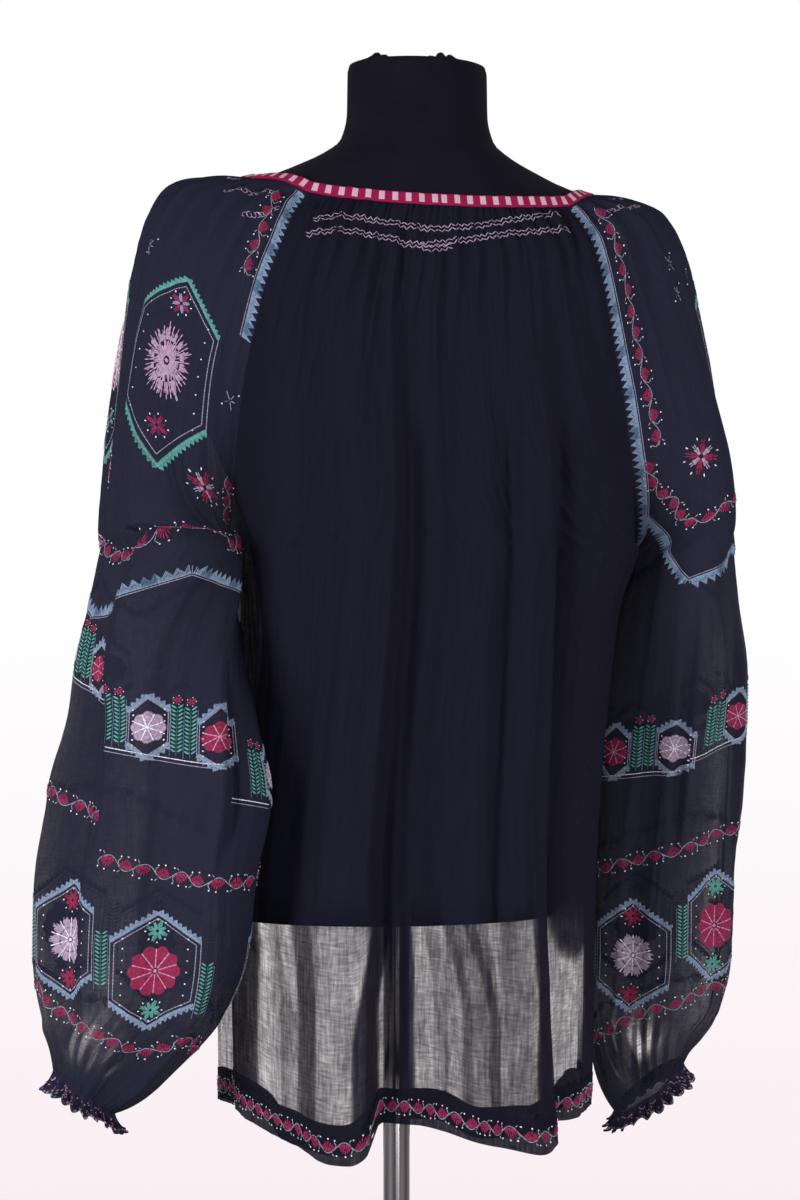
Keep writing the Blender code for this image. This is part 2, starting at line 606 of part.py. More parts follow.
for key in ("left", "right"):
    inner = inner_skins[key]
    outer = inner + sheets[key][2] * CLOTH
    for skin in (outer, inner):
        skin[UNDERARM:, -1] = skin[UNDERARM:, 0]
    open_rows = [drawn_in(skin, sides_to=UNDERARM) for skin in (outer, inner)]
    wall("sleeve_" + key, open_rows[0], open_rows[1], NAVY, fine_rows=FINE_ROWS, closed_from=UNDERARM)

    # The ruffled end carries on from the last ring of the sleeve.
    columns = RUFFLE_WAVES * 4
    ring = even(outer[-1], columns)
    centre = ring[:-1].mean(axis=0)
    away = ring - centre
    away[:, 2] = 0
    away /= np.linalg.norm(away, axis=1)[:, None]
    wave = np.cos(math.tau * RUFFLE_WAVES * np.arange(columns + 1) / columns)
    ruffle = []
    for share in (0.0, 0.4, 1.0):
        spread = share * (RUFFLE_SWING * wave + RUFFLE_FLARE) - RUFFLE_WAIST * math.sin(math.pi * share)
        row = ring + away * spread[:, None]
        row[:, 2] -= 2 * SEAM + RUFFLE_DEEP * share
        ruffle.append(row)
    ruffle = np.array(ruffle)
    wall("cuff_" + key, ruffle, ruffle - away[None] * CLOTH, LILAC, closed_from=0)

# The tape stands on the neckline all round, just above the top edges of the four pieces.
neckline = np.concatenate([inner_skins["back"][0][:-1], inner_skins["right"][0][:-1],
                           inner_skins["front"][0][::-1][:-1], inner_skins["left"][0][::-1]])
neckline = even(neckline, TAPE_COLUMNS)
along = np.roll(neckline[:-1], -1, axis=0) - np.roll(neckline[:-1], 1, axis=0)
facing = np.array([form.find_nearest(Vector(p))[1] for p in neckline[:-1]])
for _ in range(6):
    facing = facing + np.roll(facing, 1, axis=0) + np.roll(facing, -1, axis=0)
    facing /= np.linalg.norm(facing, axis=1)[:, None]
up = np.cross(along, facing)
up *= np.sign(up[:, 2:]) / np.linalg.norm(up, axis=1)[:, None]
up, facing = (np.concatenate([v, v[:1]]) for v in (up, facing))
inner = np.array([neckline + up * (NECK_TAPE_GAP + NECK_TAPE_DEEP * share) for share in (1, 0)])
inner = clear_of(form, inner, REST)
wall("neck_binding", inner + facing[None] * NECK_TAPE_THICK, inner, TAPE, closed_from=0)
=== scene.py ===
"""Gathered raglan blouse of thin navy cotton with folk embroidery, hanging on a black dress form.

The sections follow the object as it is put together: the studio, the form, its stand, the cloth
panels, the hem bands, the ruffled cuffs, the neck tape, and last the embroidery sewn on them.
"""

import math

import bmesh
import bpy
import numpy as np
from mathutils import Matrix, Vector
from mathutils.bvhtree import BVHTree


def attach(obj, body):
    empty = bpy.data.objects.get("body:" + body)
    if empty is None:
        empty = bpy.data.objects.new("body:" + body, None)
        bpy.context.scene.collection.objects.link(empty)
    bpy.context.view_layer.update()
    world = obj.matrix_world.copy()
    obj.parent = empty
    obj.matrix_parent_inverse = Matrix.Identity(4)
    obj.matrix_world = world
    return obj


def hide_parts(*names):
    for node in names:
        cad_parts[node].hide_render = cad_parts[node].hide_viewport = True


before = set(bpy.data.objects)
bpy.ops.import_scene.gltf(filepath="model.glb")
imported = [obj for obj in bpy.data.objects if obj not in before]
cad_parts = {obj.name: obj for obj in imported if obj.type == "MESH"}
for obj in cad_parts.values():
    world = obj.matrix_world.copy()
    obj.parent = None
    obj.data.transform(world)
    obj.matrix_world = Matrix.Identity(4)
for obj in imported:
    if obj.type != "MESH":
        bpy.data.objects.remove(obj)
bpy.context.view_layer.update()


# Studio. A plain pale floor, a white surround that turns faintly pink low down, three soft lights
# on the camera's side, and a camera level with the chest, a little round to the wearer's left.
VIEW_TURN = math.radians(-12)
VIEW_FAR = 2.5
VIEW_HIGH = 0.958
VIEW_ASIDE = 0.0029
VIEW_SENSOR = 36        # mm, like the focal length
VIEW_LENS = 90.36
rightward = Vector((math.cos(VIEW_TURN), math.sin(VIEW_TURN), 0))
forward = Vector((-math.sin(VIEW_TURN), math.cos(VIEW_TURN), 0))

camera = bpy.data.objects.new("camera", bpy.data.cameras.new("camera"))
camera.location = rightward * VIEW_ASIDE - forward * VIEW_FAR + Vector((0, 0, VIEW_HIGH))
camera.rotation_euler = (math.radians(90), 0, VIEW_TURN)
camera.data.sensor_width = VIEW_SENSOR
camera.data.lens = VIEW_LENS
bpy.context.scene.collection.objects.link(camera)
bpy.context.scene.camera = camera

FLOOR_HALF = 1.5
floor_shape = bmesh.new()
bmesh.ops.create_grid(floor_shape, x_segments=1, y_segments=1, size=FLOOR_HALF)
floor_mesh = bpy.data.meshes.new("studio_floor")
floor_shape.to_mesh(floor_mesh)
floor_shape.free()
floor = bpy.data.objects.new("studio_floor", floor_mesh)
bpy.context.scene.collection.objects.link(floor)
floor_paint = bpy.data.materials.new("pale_floor")
floor_paint.use_nodes = True
paint = floor_paint.node_tree.nodes["Principled BSDF"].inputs
paint["Base Color"].default_value = (0.55, 0.54, 0.54, 1)
paint["Roughness"].default_value = 0.6
floor_mesh.materials.append(floor_paint)


def soft_light(name, place, aim, size, power):
    """A square lamp turned to the point it lights, its size in metres and its power in watts."""
    lamp = bpy.data.lights.new(name, "AREA")
    lamp.shape = "SQUARE"
    lamp.size = size
    lamp.energy = power
    stand = bpy.data.objects.new(name, lamp)
    stand.location = place
    stand.rotation_euler = (Vector(aim) - Vector(place)).to_track_quat("-Z", "Y").to_euler()
    bpy.context.scene.collection.objects.link(stand)


soft_light("soft_light_left", (-2.3, -1.5, 1.25), (0, 0, 0.95), 1.1, 165)
soft_light("soft_light_right", (2.2, -1.7, 1.5), (0, 0, 0.95), 1.4, 90)
soft_light("soft_light_front", (-0.1, -2.7, 0.55), (0.1, 0, 0.75), 0.9, 48)

HORIZON_PINK = (0.955, 0.850, 0.885, 1)
FADE = 0.20             # the surround is white down to the horizon and pink from this far below it
surround = bpy.data.worlds.new("white_surround")
surround.use_nodes = True
bpy.context.scene.world = surround
sky = surround.node_tree
direction = sky.nodes.new("ShaderNodeTexCoord")
upright = sky.nodes.new("ShaderNodeSeparateXYZ")
fade = sky.nodes.new("ShaderNodeValToRGB")
for stop, at, colour in zip(fade.color_ramp.elements, (0.0, FADE), (HORIZON_PINK, (1.0, 1.0, 1.0, 1))):
    stop.position, stop.color = at, colour
shift = sky.nodes.new("ShaderNodeMath")
shift.operation = "ADD"
shift.inputs[1].default_value = FADE
sky.links.new(direction.outputs["Generated"], upright.inputs[0])
sky.links.new(upright.outputs["Z"], shift.inputs[0])
sky.links.new(shift.outputs[0], fade.inputs["Fac"])
sky.links.new(fade.outputs["Color"], sky.nodes["Background"].inputs["Color"])
bpy.context.scene.view_settings.view_transform = "Standard"
bpy.context.scene.cycles.transparent_max_bounces = 24


# Dress form. A padded torso without limbs, covered in black jersey that is drawn up and tucked in
# at the flat top of the neck. It leans a little, and everything it carries leans with it.
TILT = 0.021            # the shoulders fall this much for each metre toward +X
ASIDE = 0.0175          # and the chest stands this far toward +X of the pole
FORM_FOOT = 0.697
FORM_SECTIONS = (
    # z, half_width, behind, before
    (1.400, 0.0565, 0.0565, 0.0565),
    (1.397, 0.0578, 0.0578, 0.0578),
    (1.360, 0.0585, 0.0585, 0.0580),
    (1.338, 0.0640, 0.0620, 0.0610),
    (1.325, 0.0800, 0.0660, 0.0640),
    (1.313, 0.1040, 0.0710, 0.0670),
    (1.304, 0.1250, 0.0745, 0.0700),
    (1.2985, 0.1430, 0.0765, 0.0715),
    (1.2935, 0.1630, 0.0785, 0.0735),
    (1.283, 0.1830, 0.0825, 0.0760),
    (1.262, 0.1940, 0.0900, 0.0820),
    (1.228, 0.1990, 0.0990, 0.0930),
    (1.180, 0.1980, 0.1070, 0.1080),
    (1.120, 0.1850, 0.1110, 0.1250),
    (1.060, 0.1600, 0.1100, 0.1340),
    (0.990, 0.1360, 0.1010, 0.1240),
    (0.920, 0.1240, 0.0910, 0.1020),
    (0.840, 0.1280, 0.0950, 0.1030),
    (0.770, 0.1350, 0.1000, 0.1050),
    (0.712, 0.1370, 0.0990, 0.1020),
    (FORM_FOOT, 0.1340, 0.0930, 0.0960),
)
FORM_RINGS = 150
FORM_SIDES = 112
CLOSING_RINGS = (0.93, 0.86, 0.78, 0.7, 0.58, 0.45, 0.2)    # at its top and foot, shares of its girth
NECK_RADIUS = FORM_SECTIONS[0][1]
PLEAT_HIGH = 0.00384    # radial pleats toward the middle of the flat top
DISH = 0.0022           # how far that middle sinks
TUCK_HIGH = 0.0075      # bunched jersey nearer its rim


def table_at(rows, at):
    """Smooth values of a table at an array of keys, following the rows without overshooting."""
    rows = np.asarray(rows, float)
    if rows[0, 0] > rows[-1, 0]:
        rows = rows[::-1]
    keys, values = rows[:, 0], rows[:, 1:]
    slopes = np.diff(values, axis=0) / np.diff(keys)[:, None]
    ends = np.zeros_like(values)
    ends[0], ends[-1] = slopes[0], slopes[-1]
    same = slopes[:-1] * slopes[1:] > 0
    total = np.where(same, slopes[:-1] + slopes[1:], 1.0)
    ends[1:-1] = np.where(same, 2 * slopes[:-1] * slopes[1:] / total, 0.0)
    at = np.clip(np.asarray(at, float), keys[0], keys[-1])
    i = np.clip(np.searchsorted(keys, at, side="right") - 1, 0, len(keys) - 2)
    span = (keys[i + 1] - keys[i])[..., None]
    t = (at - keys[i])[..., None] / span
    return ((2 * t**3 - 3 * t**2 + 1) * values[i] + (t**3 - 2 * t**2 + t) * span * ends[i]
            + (3 * t**2 - 2 * t**3) * values[i + 1] + (t**3 - t**2) * span * ends[i + 1])


def ease(t):
    """A soft step from 0 to 1."""
    t = np.clip(t, 0.0, 1.0)
    return t * t * (3 - 2 * t)


def lean(points):
    """Moves upright points to where the leaning form carries them."""
    points = np.array(points, float)
    x, z = points[..., 0].copy(), points[..., 2].copy()
    points[..., 0] += ASIDE * ease((z - FORM_FOOT) / 0.35)
    points[..., 2] -= TILT * x * ease((z - FORM_FOOT) / 0.50)
    return points


class Wire:
    """A socket of a finish. Arithmetic on it adds Math nodes."""

    def __init__(self, finish, socket):
        self.finish, self.socket = finish, socket

    def maths(self, operation, first, second=0.0):
        return self.finish.add("ShaderNodeMath", {"operation": operation}, {0: first, 1: second})

    def __add__(self, other):
        return self.maths("ADD", self, other)

    def __sub__(self, other):
        return self.maths("SUBTRACT", self, other)

    def __rsub__(self, other):
        return self.maths("SUBTRACT", other, self)

    def __mul__(self, other):
        return self.maths("MULTIPLY", self, other)

    def __gt__(self, other):
        return self.maths("GREATER_THAN", self, other)

    __radd__, __rmul__ = __add__, __mul__


class Finish:
    """A material: constants go straight on the shader, and what varies is fed to it."""

    def __init__(self, name, **constants):
        self.material = bpy.data.materials.new(name)
        self.material.use_nodes = True
        self.tree = self.material.node_tree
        self.shader = self.tree.nodes["Principled BSDF"]
        for socket, value in constants.items():
            self.put(self.shader.inputs[socket.replace("_", " ")], value)

    def put(self, socket, value):
        if isinstance(value, Wire):
            self.tree.links.new(value.socket, socket)
        else:
            wide = hasattr(socket.default_value, "__len__") and len(socket.default_value) == 4
            socket.default_value = (*value, 1) if wide and len(value) == 3 else value

    def add(self, kind, settings=(), inputs=(), output=0):
        node = self.tree.nodes.new(kind)
        for key, value in dict(settings).items():
            setattr(node, key, value)
        for key, value in dict(inputs).items():
            self.put(node.inputs[key], value)
        return Wire(self, node.outputs[output])

    def feed(self, socket, value):
        self.put(self.shader.inputs[socket], value)

    def noise(self, place, scale, detail=2.0, rough=0.5):
        return self.add("ShaderNodeTexNoise", {}, {"Vector": place, "Scale": scale, "Detail": detail,
                                                   "Roughness": rough}, "Fac")

    def stretched(self, place, scale):
        return self.add("ShaderNodeMapping", {}, {"Vector": place, "Scale": scale}, "Vector")

    def raised(self, height, strength, distance):
        self.feed("Normal", self.add("ShaderNodeBump", {}, {"Height": height, "Strength": strength,
                                                            "Distance": distance}, "Normal"))

    def mixed(self, share, first, second):
        return self.add("ShaderNodeMix", {"data_type": "RGBA"},
                        {"Factor": share, "A": first, "B": second}, "Result")


def piece(name, shape, finish, node):
    """A finished, smooth-shaded object from a bmesh, riding on the one body."""
    mesh = bpy.data.meshes.new(name)
    shape.to_mesh(mesh)
    shape.free()
    mesh.materials.append(finish.material)
    for polygon in mesh.polygons:
        polygon.use_smooth = True
    made = bpy.data.objects.new(name, mesh)
    bpy.context.scene.collection.objects.link(made)
    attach(made, "root")
    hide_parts(node)
    return made


jersey = Finish("black_jersey", Roughness=0.95, Specular_IOR_Level=0.03)
on_form = jersey.add("ShaderNodeTexCoord", {}, {}, "Object")
knit = jersey.noise(jersey.stretched(on_form, (900, 900, 2600)), 1.0, 2.0)
pile = jersey.noise(on_form, 35.0, 3.0)
jersey.feed("Base Color", jersey.mixed(pile, (0.0012, 0.0011, 0.0026), (0.0028, 0.0026, 0.0052)))
jersey.raised(knit, 0.35, 0.0004)

torso = bmesh.new()
heights = np.linspace(FORM_SECTIONS[0][0], FORM_FOOT, FORM_RINGS)
profile = [torso.verts.new((1, 0, z)) for z in heights]
edges = [torso.edges.new(pair) for pair in zip(profile, profile[1:])]
bmesh.ops.spin(torso, geom=profile + edges, cent=(0, 0, 0), axis=(0, 0, 1), angle=math.tau,
               steps=FORM_SIDES, use_merge=True)
bmesh.ops.remove_doubles(torso, verts=torso.verts, dist=1e-5)
for v in torso.verts:
    wide, behind, before = table_at(FORM_SECTIONS, v.co.z)
    v.co.x *= wide
    v.co.y *= before if v.co.y > 0 else behind
rims = [e for e in torso.edges if e.is_boundary]
for z in (heights[0], heights[-1]):
    rim = [e for e in rims if abs(e.verts[0].co.z - z) < 1e-4]
    last = 1.0
    for shrink in CLOSING_RINGS:
        ring = bmesh.ops.extrude_edge_only(torso, edges=rim)["geom"]
        rim = [e for e in ring if isinstance(e, bmesh.types.BMEdge)]
        for v in ring:
            if isinstance(v, bmesh.types.BMVert):
                v.co.x, v.co.y = v.co.x * (shrink / last), v.co.y * (shrink / last)
        last = shrink
    bmesh.ops.contextual_create(torso, geom=rim)
bmesh.ops.recalc_face_normals(torso, faces=torso.faces)
for v in torso.verts:
    # The jersey is drawn together on the flat top, in small radial pleats with a bunched middle.
    far = math.hypot(v.co.x, v.co.y) / NECK_RADIUS
    if v.co.z > heights[0] - 1e-4 and far < 0.97:
        turn = math.atan2(v.co.y, v.co.x)
        pleats = 0.5 + 0.5 * math.sin(17 * turn + 2.2 * math.sin(3 * turn))
        tuck = max(math.sin(5 * turn + 1.9), 0) * (0.55 + 0.45 * math.sin(31 * turn))
        tuck *= math.exp(-((far - 0.80) / 0.14)**2)
        v.co.z += (PLEAT_HIGH * pleats - DISH) * (1 - far) + TUCK_HIGH * tuck
    v.co = lean(np.array(v.co))
# The operators store faces in another order at each run, so they are put in one order by place.
ORDER = Vector((1.0, 17.3, 311.7))
torso.verts.sort(key=lambda v: v.co.dot(ORDER))
torso.faces.sort(key=lambda face: face.calc_center_median().dot(ORDER))
form_tree = BVHTree.FromBMesh(torso)
piece("dress_form", torso, jersey, "form_torso")


# Stand. A chromed tube that goes up into the form, on a flat round plate of chromed steel with a
# softened rim. Both are the solids of the frame, polished, with faint streaks from handling in their
# roughness. Their colour is painted reflection: kept dark, with light and dark bands along the same streaks.
chrome = Finish("polished_chrome", Metallic=1.0)
on_stand = chrome.add("ShaderNodeTexCoord", {}, {}, "Object")
streaks = chrome.noise(chrome.stretched(on_stand, (210, 210, 2)), 1.0, 3.0)
chrome.feed("Roughness", streaks * 0.12 + 0.10)
# Painted reflections: a dark base colour banded light and dark along the tube.
chrome.feed("Base Color", chrome.mixed((streaks - 0.34) * 3.2, (0.020, 0.019, 0.021), (0.15, 0.145, 0.15)))
for name in ("stand_pole", "stand_base"):
    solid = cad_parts[name]
    solid.data.materials.clear()
    solid.data.materials.append(chrome.material)
    for polygon in solid.data.polygons:
        polygon.use_smooth = name == "stand_pole" and abs(polygon.normal.z) < 0.5


# Cloth panels. Back, front and two full raglan sleeves of crinkled navy cotton voile, gathered
# into the neck tape. Each is one thin sheet in the middle of its solid's wall, with the same main
# folds, irregular gathers below the tape, and finer creases that the solid leaves out.
CLOTH = 0.0015
AIR = 0.0005            # between the cloth and the form
UNDERARM_Z = 1.0
WRIST_SLOPE = 0.75      # the gathered wrist stands this much higher on its outer side
YOKE_BACK = (
    # level, centre_y, centre_z, raglan_x, raglan_y, raglan_z
    (0.00, -0.0870, 1.2750, 0.112, -0.0650, 1.2815),
    (0.08, -0.0920, 1.2580, 0.120, -0.0765, 1.2675),
    (0.20, -0.0990, 1.2320, 0.128, -0.0890, 1.2460),
    (0.40, -0.1090, 1.1820, 0.137, -0.0990, 1.1940),
    (0.60, -0.1150, 1.1250, 0.148, -0.0980, 1.1370),
    (0.80, -0.1200, 1.0650, 0.162, -0.0830, 1.0700),
    (0.93, -0.1240, 1.0200, 0.177, -0.0450, 1.0200),
    (1.00, -0.1260, 1.0000, 0.185, 0.0000, 1.0000),
)
YOKE_FRONT = (
    (0.00, 0.0870, 1.2330, 0.110, 0.0550, 1.2750),
    (0.08, 0.0950, 1.2130, 0.118, 0.0700, 1.2560),
    (0.20, 0.1080, 1.1850, 0.126, 0.0880, 1.2290),
    (0.40, 0.1280, 1.1380, 0.135, 0.1040, 1.1790),
    (0.60, 0.1390, 1.0950, 0.146, 0.1050, 1.1260),
    (0.80, 0.1450, 1.0500, 0.160, 0.0860, 1.0640),
    (0.93, 0.1480, 1.0150, 0.176, 0.0460, 1.0180),
    (1.00, 0.1490, 1.0000, 0.185, 0.0000, 1.0000),
)
YOKE_SLEEVE = (
    # level, top_x, top_y, top_z, reach_at_seam, reach_at_top, body_turn, sleeve_turn
    (0.00, 0.1485, -0.002, 1.2995, 0.024, 0.024, 31, 31),
    (0.08, 0.1720, 0.000, 1.2975, 0.030, 0.035, 30, 30),
    (0.20, 0.2025, 0.000, 1.2880, 0.036, 0.045, 28, 28),
    (0.40, 0.2275, 0.000, 1.2475, 0.045, 0.060, 25, 22),
    (0.60, 0.2405, 0.000, 1.1850, 0.055, 0.072, 28, 12),
    (0.80, 0.2500, 0.000, 1.1050, 0.075, 0.090, 48, -15),
    (0.93, 0.2575, 0.000, 1.0350, 0.092, 0.112, 75, -58),
    (1.00, 0.2625, 0.000, 1.0000, 0.125, 0.125, 90, -90),
)
LEFT_SHIFT = (
    # level, shift_x, shift_y
    (0.00, 0.008, 0.000), (0.08, 0.004, 0.000), (0.20, 0.001, 0.000), (0.40, -0.010, 0.000),
    (0.60, -0.012, 0.000), (0.80, -0.004, -0.002), (0.93, 0.012, -0.014), (1.00, 0.023, -0.024),
)
BODY = (
    # drop, left_x, left_y, right_x, right_y, back_y, front_y
    (0.00, -0.161, -0.024, 0.184, 0.000, -0.126, 0.149),
    (0.12, -0.148, -0.018, 0.166, 0.000, -0.128, 0.150),
    (0.30, -0.142, -0.010, 0.162, 0.002, -0.131, 0.149),
    (0.60, -0.141, 0.000, 0.161, 0.004, -0.135, 0.147),
    (1.00, -0.1365, 0.004, 0.157, 0.006, -0.139, 0.146),
)
SQUARE = 0.62
SLEEVE_RIGHT = (
    # z, centre_x, centre_y, half_long, half_deep, turn
    (1.000, 0.2235, 0.000, 0.0375, 0.094, 0),
    (0.960, 0.2240, 0.006, 0.0460, 0.088, 0),
    (0.900, 0.2280, 0.016, 0.0560, 0.079, 0),
    (0.820, 0.2330, 0.028, 0.0610, 0.068, 0),
    (0.740, 0.2350, 0.034, 0.0620, 0.063, 0),
    (0.660, 0.2350, 0.036, 0.0600, 0.061, 0),
    (0.610, 0.2310, 0.038, 0.0560, 0.056, 0),
    (0.575, 0.2290, 0.040, 0.0460, 0.046, 0),
    (0.541, 0.2300, 0.040, 0.0300, 0.026, 0),
)
SLEEVE_LEFT = (
    (1.000, -0.2125, -0.024, 0.0505, 0.094, 0),
    (0.960, -0.2110, -0.034, 0.0570, 0.085, 12),
    (0.900, -0.2140, -0.059, 0.0670, 0.064, 23),
    (0.860, -0.2120, -0.077, 0.0770, 0.050, 28),
    (0.800, -0.2120, -0.087, 0.0930, 0.043, 31),
    (0.740, -0.2200, -0.088, 0.0920, 0.043, 31),
    (0.680, -0.2230, -0.084, 0.0880, 0.046, 29),
    (0.630, -0.2280, -0.076, 0.0720, 0.046, 25),
    (0.595, -0.2480, -0.063, 0.0460, 0.040, 16),
    (0.568, -0.2650, -0.057, 0.0240, 0.023, 8),
)
HEM_BACK = (
    # x, z
    (-0.160, 0.5680), (-0.130, 0.5440), (-0.097, 0.5280), (-0.060, 0.5200), (-0.050, 0.5260),
    (-0.042, 0.5480), (-0.018, 0.5470), (0.010, 0.5400), (0.036, 0.5310), (0.060, 0.5250),
    (0.080, 0.5210), (0.092, 0.5290), (0.100, 0.5400), (0.122, 0.5410), (0.160, 0.5440),
)
HEM_FRONT = (
    (-0.160, 0.5600), (-0.135, 0.5420), (-0.120, 0.5340), (-0.100, 0.5140), (-0.080, 0.4980),
    (-0.060, 0.4850), (-0.036, 0.4740), (-0.008, 0.4700), (0.006, 0.4820), (0.019, 0.4990),
    (0.036, 0.5035), (0.057, 0.4998), (0.078, 0.4950), (0.107, 0.4865), (0.130, 0.4890),
    (0.146, 0.5080), (0.160, 0.5440),
)
FOLDS = {
    # x_chest, x_hem, out_chest, out_hem on the body
    "back": (
        (-0.175, -0.156, 0.000, 0.000), (-0.128, -0.124, 0.004, 0.010),
        (-0.100, -0.102, 0.000, 0.004), (-0.074, -0.068, 0.006, 0.030),
        (-0.047, -0.052, 0.006, 0.030), (-0.034, -0.042, 0.000, -0.008),
        (-0.012, -0.020, 0.003, 0.000), (0.010, 0.006, 0.000, -0.008),
        (0.030, 0.036, 0.003, 0.008), (0.046, 0.054, 0.001, 0.006),
        (0.060, 0.074, 0.006, 0.024), (0.074, 0.090, 0.006, 0.023),
        (0.086, 0.101, 0.000, -0.009), (0.110, 0.120, 0.003, 0.000),
        (0.175, 0.158, 0.000, 0.000),
    ),
    "front": (
        (-0.175, -0.156, 0.000, 0.000), (-0.120, -0.124, 0.003, 0.012),
        (-0.094, -0.092, 0.000, -0.008), (-0.064, -0.058, 0.004, 0.018),
        (-0.030, -0.030, 0.000, -0.006), (0.000, 0.002, 0.003, 0.015),
        (0.034, 0.036, 0.000, -0.008), (0.064, 0.066, 0.004, 0.020),
        (0.094, 0.096, 0.000, -0.006), (0.122, 0.126, 0.003, 0.011),
        (0.175, 0.158, 0.000, 0.000),
    ),
    # share of the way round, out_top, out_low on the sleeves
    "left": (
        (0.00, 0.000, 0.000), (0.09, 0.002, 0.005), (0.17, 0.000, -0.002), (0.26, 0.003, 0.008),
        (0.31, 0.003, 0.008), (0.36, -0.002, -0.010), (0.45, 0.002, 0.002), (0.54, 0.000, -0.004),
        (0.64, 0.003, 0.007), (0.74, 0.000, -0.005), (0.84, 0.003, 0.006), (0.93, 0.000, -0.002),
        (1.00, 0.000, 0.000),
    ),
    "right": (
        (0.00, 0.000, 0.000), (0.08, 0.002, 0.004), (0.16, 0.000, -0.003), (0.25, 0.003, 0.006),
        (0.33, 0.000, -0.003), (0.40, 0.003, 0.005), (0.49, 0.000, -0.004), (0.58, 0.003, 0.006),
        (0.68, 0.000, -0.004), (0.79, 0.003, 0.006), (0.90, 0.000, -0.003), (1.00, 0.000, 0.000),
    ),
}
# Broad pleats that stand over the cloth beside them.
LAPS = {
    # from, to (x on the back, share of the way round a sleeve), level_from, level_to, height
    "back": ((-0.083, -0.030, 0.62, 1.90, 0.0040), (0.056, 0.087, 0.62, 1.90, 0.0050)),
    "left": ((0.090, 0.310, 0.86, 1.62, 0.0095),),
    "right": ((0.245, 0.430, 1.05, 1.62, 0.0060),),
}
GATHERS = {"back": 16, "front": 16, "left": 12, "right": 12}
GATHER_SEED = {"back": 3, "front": 5, "left": 7, "right": 11}
GATHER_HEIGHT = ((0.00, 0.0012), (0.04, 0.0026), (0.12, 0.0036), (0.25, 0.0026), (0.42, 0.0), (2.0, 0.0))
SIDE = {"back": -1, "front": 1, "left": -1, "right": 1}
YOKE_ROWS = 84                                  # down to the underarm
LOWER_ROWS = {"back": 128, "front": 84, "left": 128, "right": 128}
COLUMNS = {"back": 300, "front": 200, "left": 240, "right": 240}
TIGHT_GATHER = 0.0009   # small puckers right below the tape
LONG_GATHER = 0.0030    # sharp ridges that run on below them
BROAD_FOLD = 0.0075     # slow waves of the back and front
DRAWN_CREASE = 0.0050   # where a sleeve is drawn in above its wrist
WIDE_CREASE = 0.0034
NARROW_CREASE = 0.0013
CRINKLE = 0.0005


def arc(p0, p1, p2, p3):
    """Points of a cubic curve."""
    t = np.linspace(0, 1, 65)[:, None]
    return (1 - t)**3 * p0 + 3 * (1 - t)**2 * t * p1 + 3 * (1 - t) * t**2 * p2 + t**3 * p3


def even(path, count):
    """The path again as count + 1 points evenly spaced along it."""
    far = np.concatenate([[0], np.cumsum(np.linalg.norm(np.diff(path, axis=0), axis=1))])
    at = np.linspace(0, far[-1], count + 1)
    return np.stack([np.interp(at, far, path[:, k]) for k in range(3)], axis=1)


def heading(degrees):
    """A level direction."""
    a = math.radians(degrees)
    return np.array([math.cos(a), math.sin(a), 0.0])


def climb(path, start_z, end_z, power):
    """Gives a flat path heights that run from start to end."""
    path = path.copy()
    path[:, 2] = start_z + (end_z - start_z) * power(np.linspace(0, 1, len(path)))
    return path


def raglan(side, body, level):
    """The point of a raglan seam at a level: side -1 or 1 of the back (-1) or front (1)."""
    x, y, z = table_at(YOKE_BACK if body < 0 else YOKE_FRONT, level)[2:]
    shift = table_at(LEFT_SHIFT, level) if side < 0 else (0, 0)
    return np.array([side * x + shift[0], y + shift[1], z])


def body_row(side, level, count):
    """One row of the back or front panel, from -X to +X."""
    if level < 1:
        cy, cz = table_at(YOKE_BACK if side < 0 else YOKE_FRONT, level)[:2]
        turn = table_at(YOKE_SLEEVE, level)[5]
        ends = [raglan(-1, side, level), raglan(1, side, level)]
    else:
        lx, ly, rx, ry, back_y, front_y = table_at(BODY, level - 1)
        cy, cz, turn = (back_y if side < 0 else front_y), UNDERARM_Z, 90
        ends = [np.array([lx, ly, cz]), np.array([rx, ry, cz])]
    halves = []
    for seam, sign in zip(ends, (-1, 1)):
        flat_seam, centre = seam * (1, 1, 0), np.array([0.0, cy, 0.0])
        chord = np.linalg.norm(flat_seam - centre)
        square = 0.40 + (SQUARE - 0.40) * ease(level * 1.2)
        reach = 0.33 + 0.05 * ease(level) + 0.12 * ease((level - 0.92) / 0.08)
        path = arc(centre, centre + np.array([square * flat_seam[0], 0, 0]),
                   flat_seam - heading(turn) * (sign, -side, 1) * chord * reach, flat_seam)
        halves.append(climb(path, cz, seam[2], np.square))
    row = even(np.concatenate([halves[0][::-1], halves[1][1:]]), count)
    if level > 1:
        hem = table_at(HEM_BACK if side < 0 else HEM_FRONT, row[:, 0])[:, 0]
        row[:, 2] = UNDERARM_Z + (hem - UNDERARM_Z) * (level - 1)
    return row


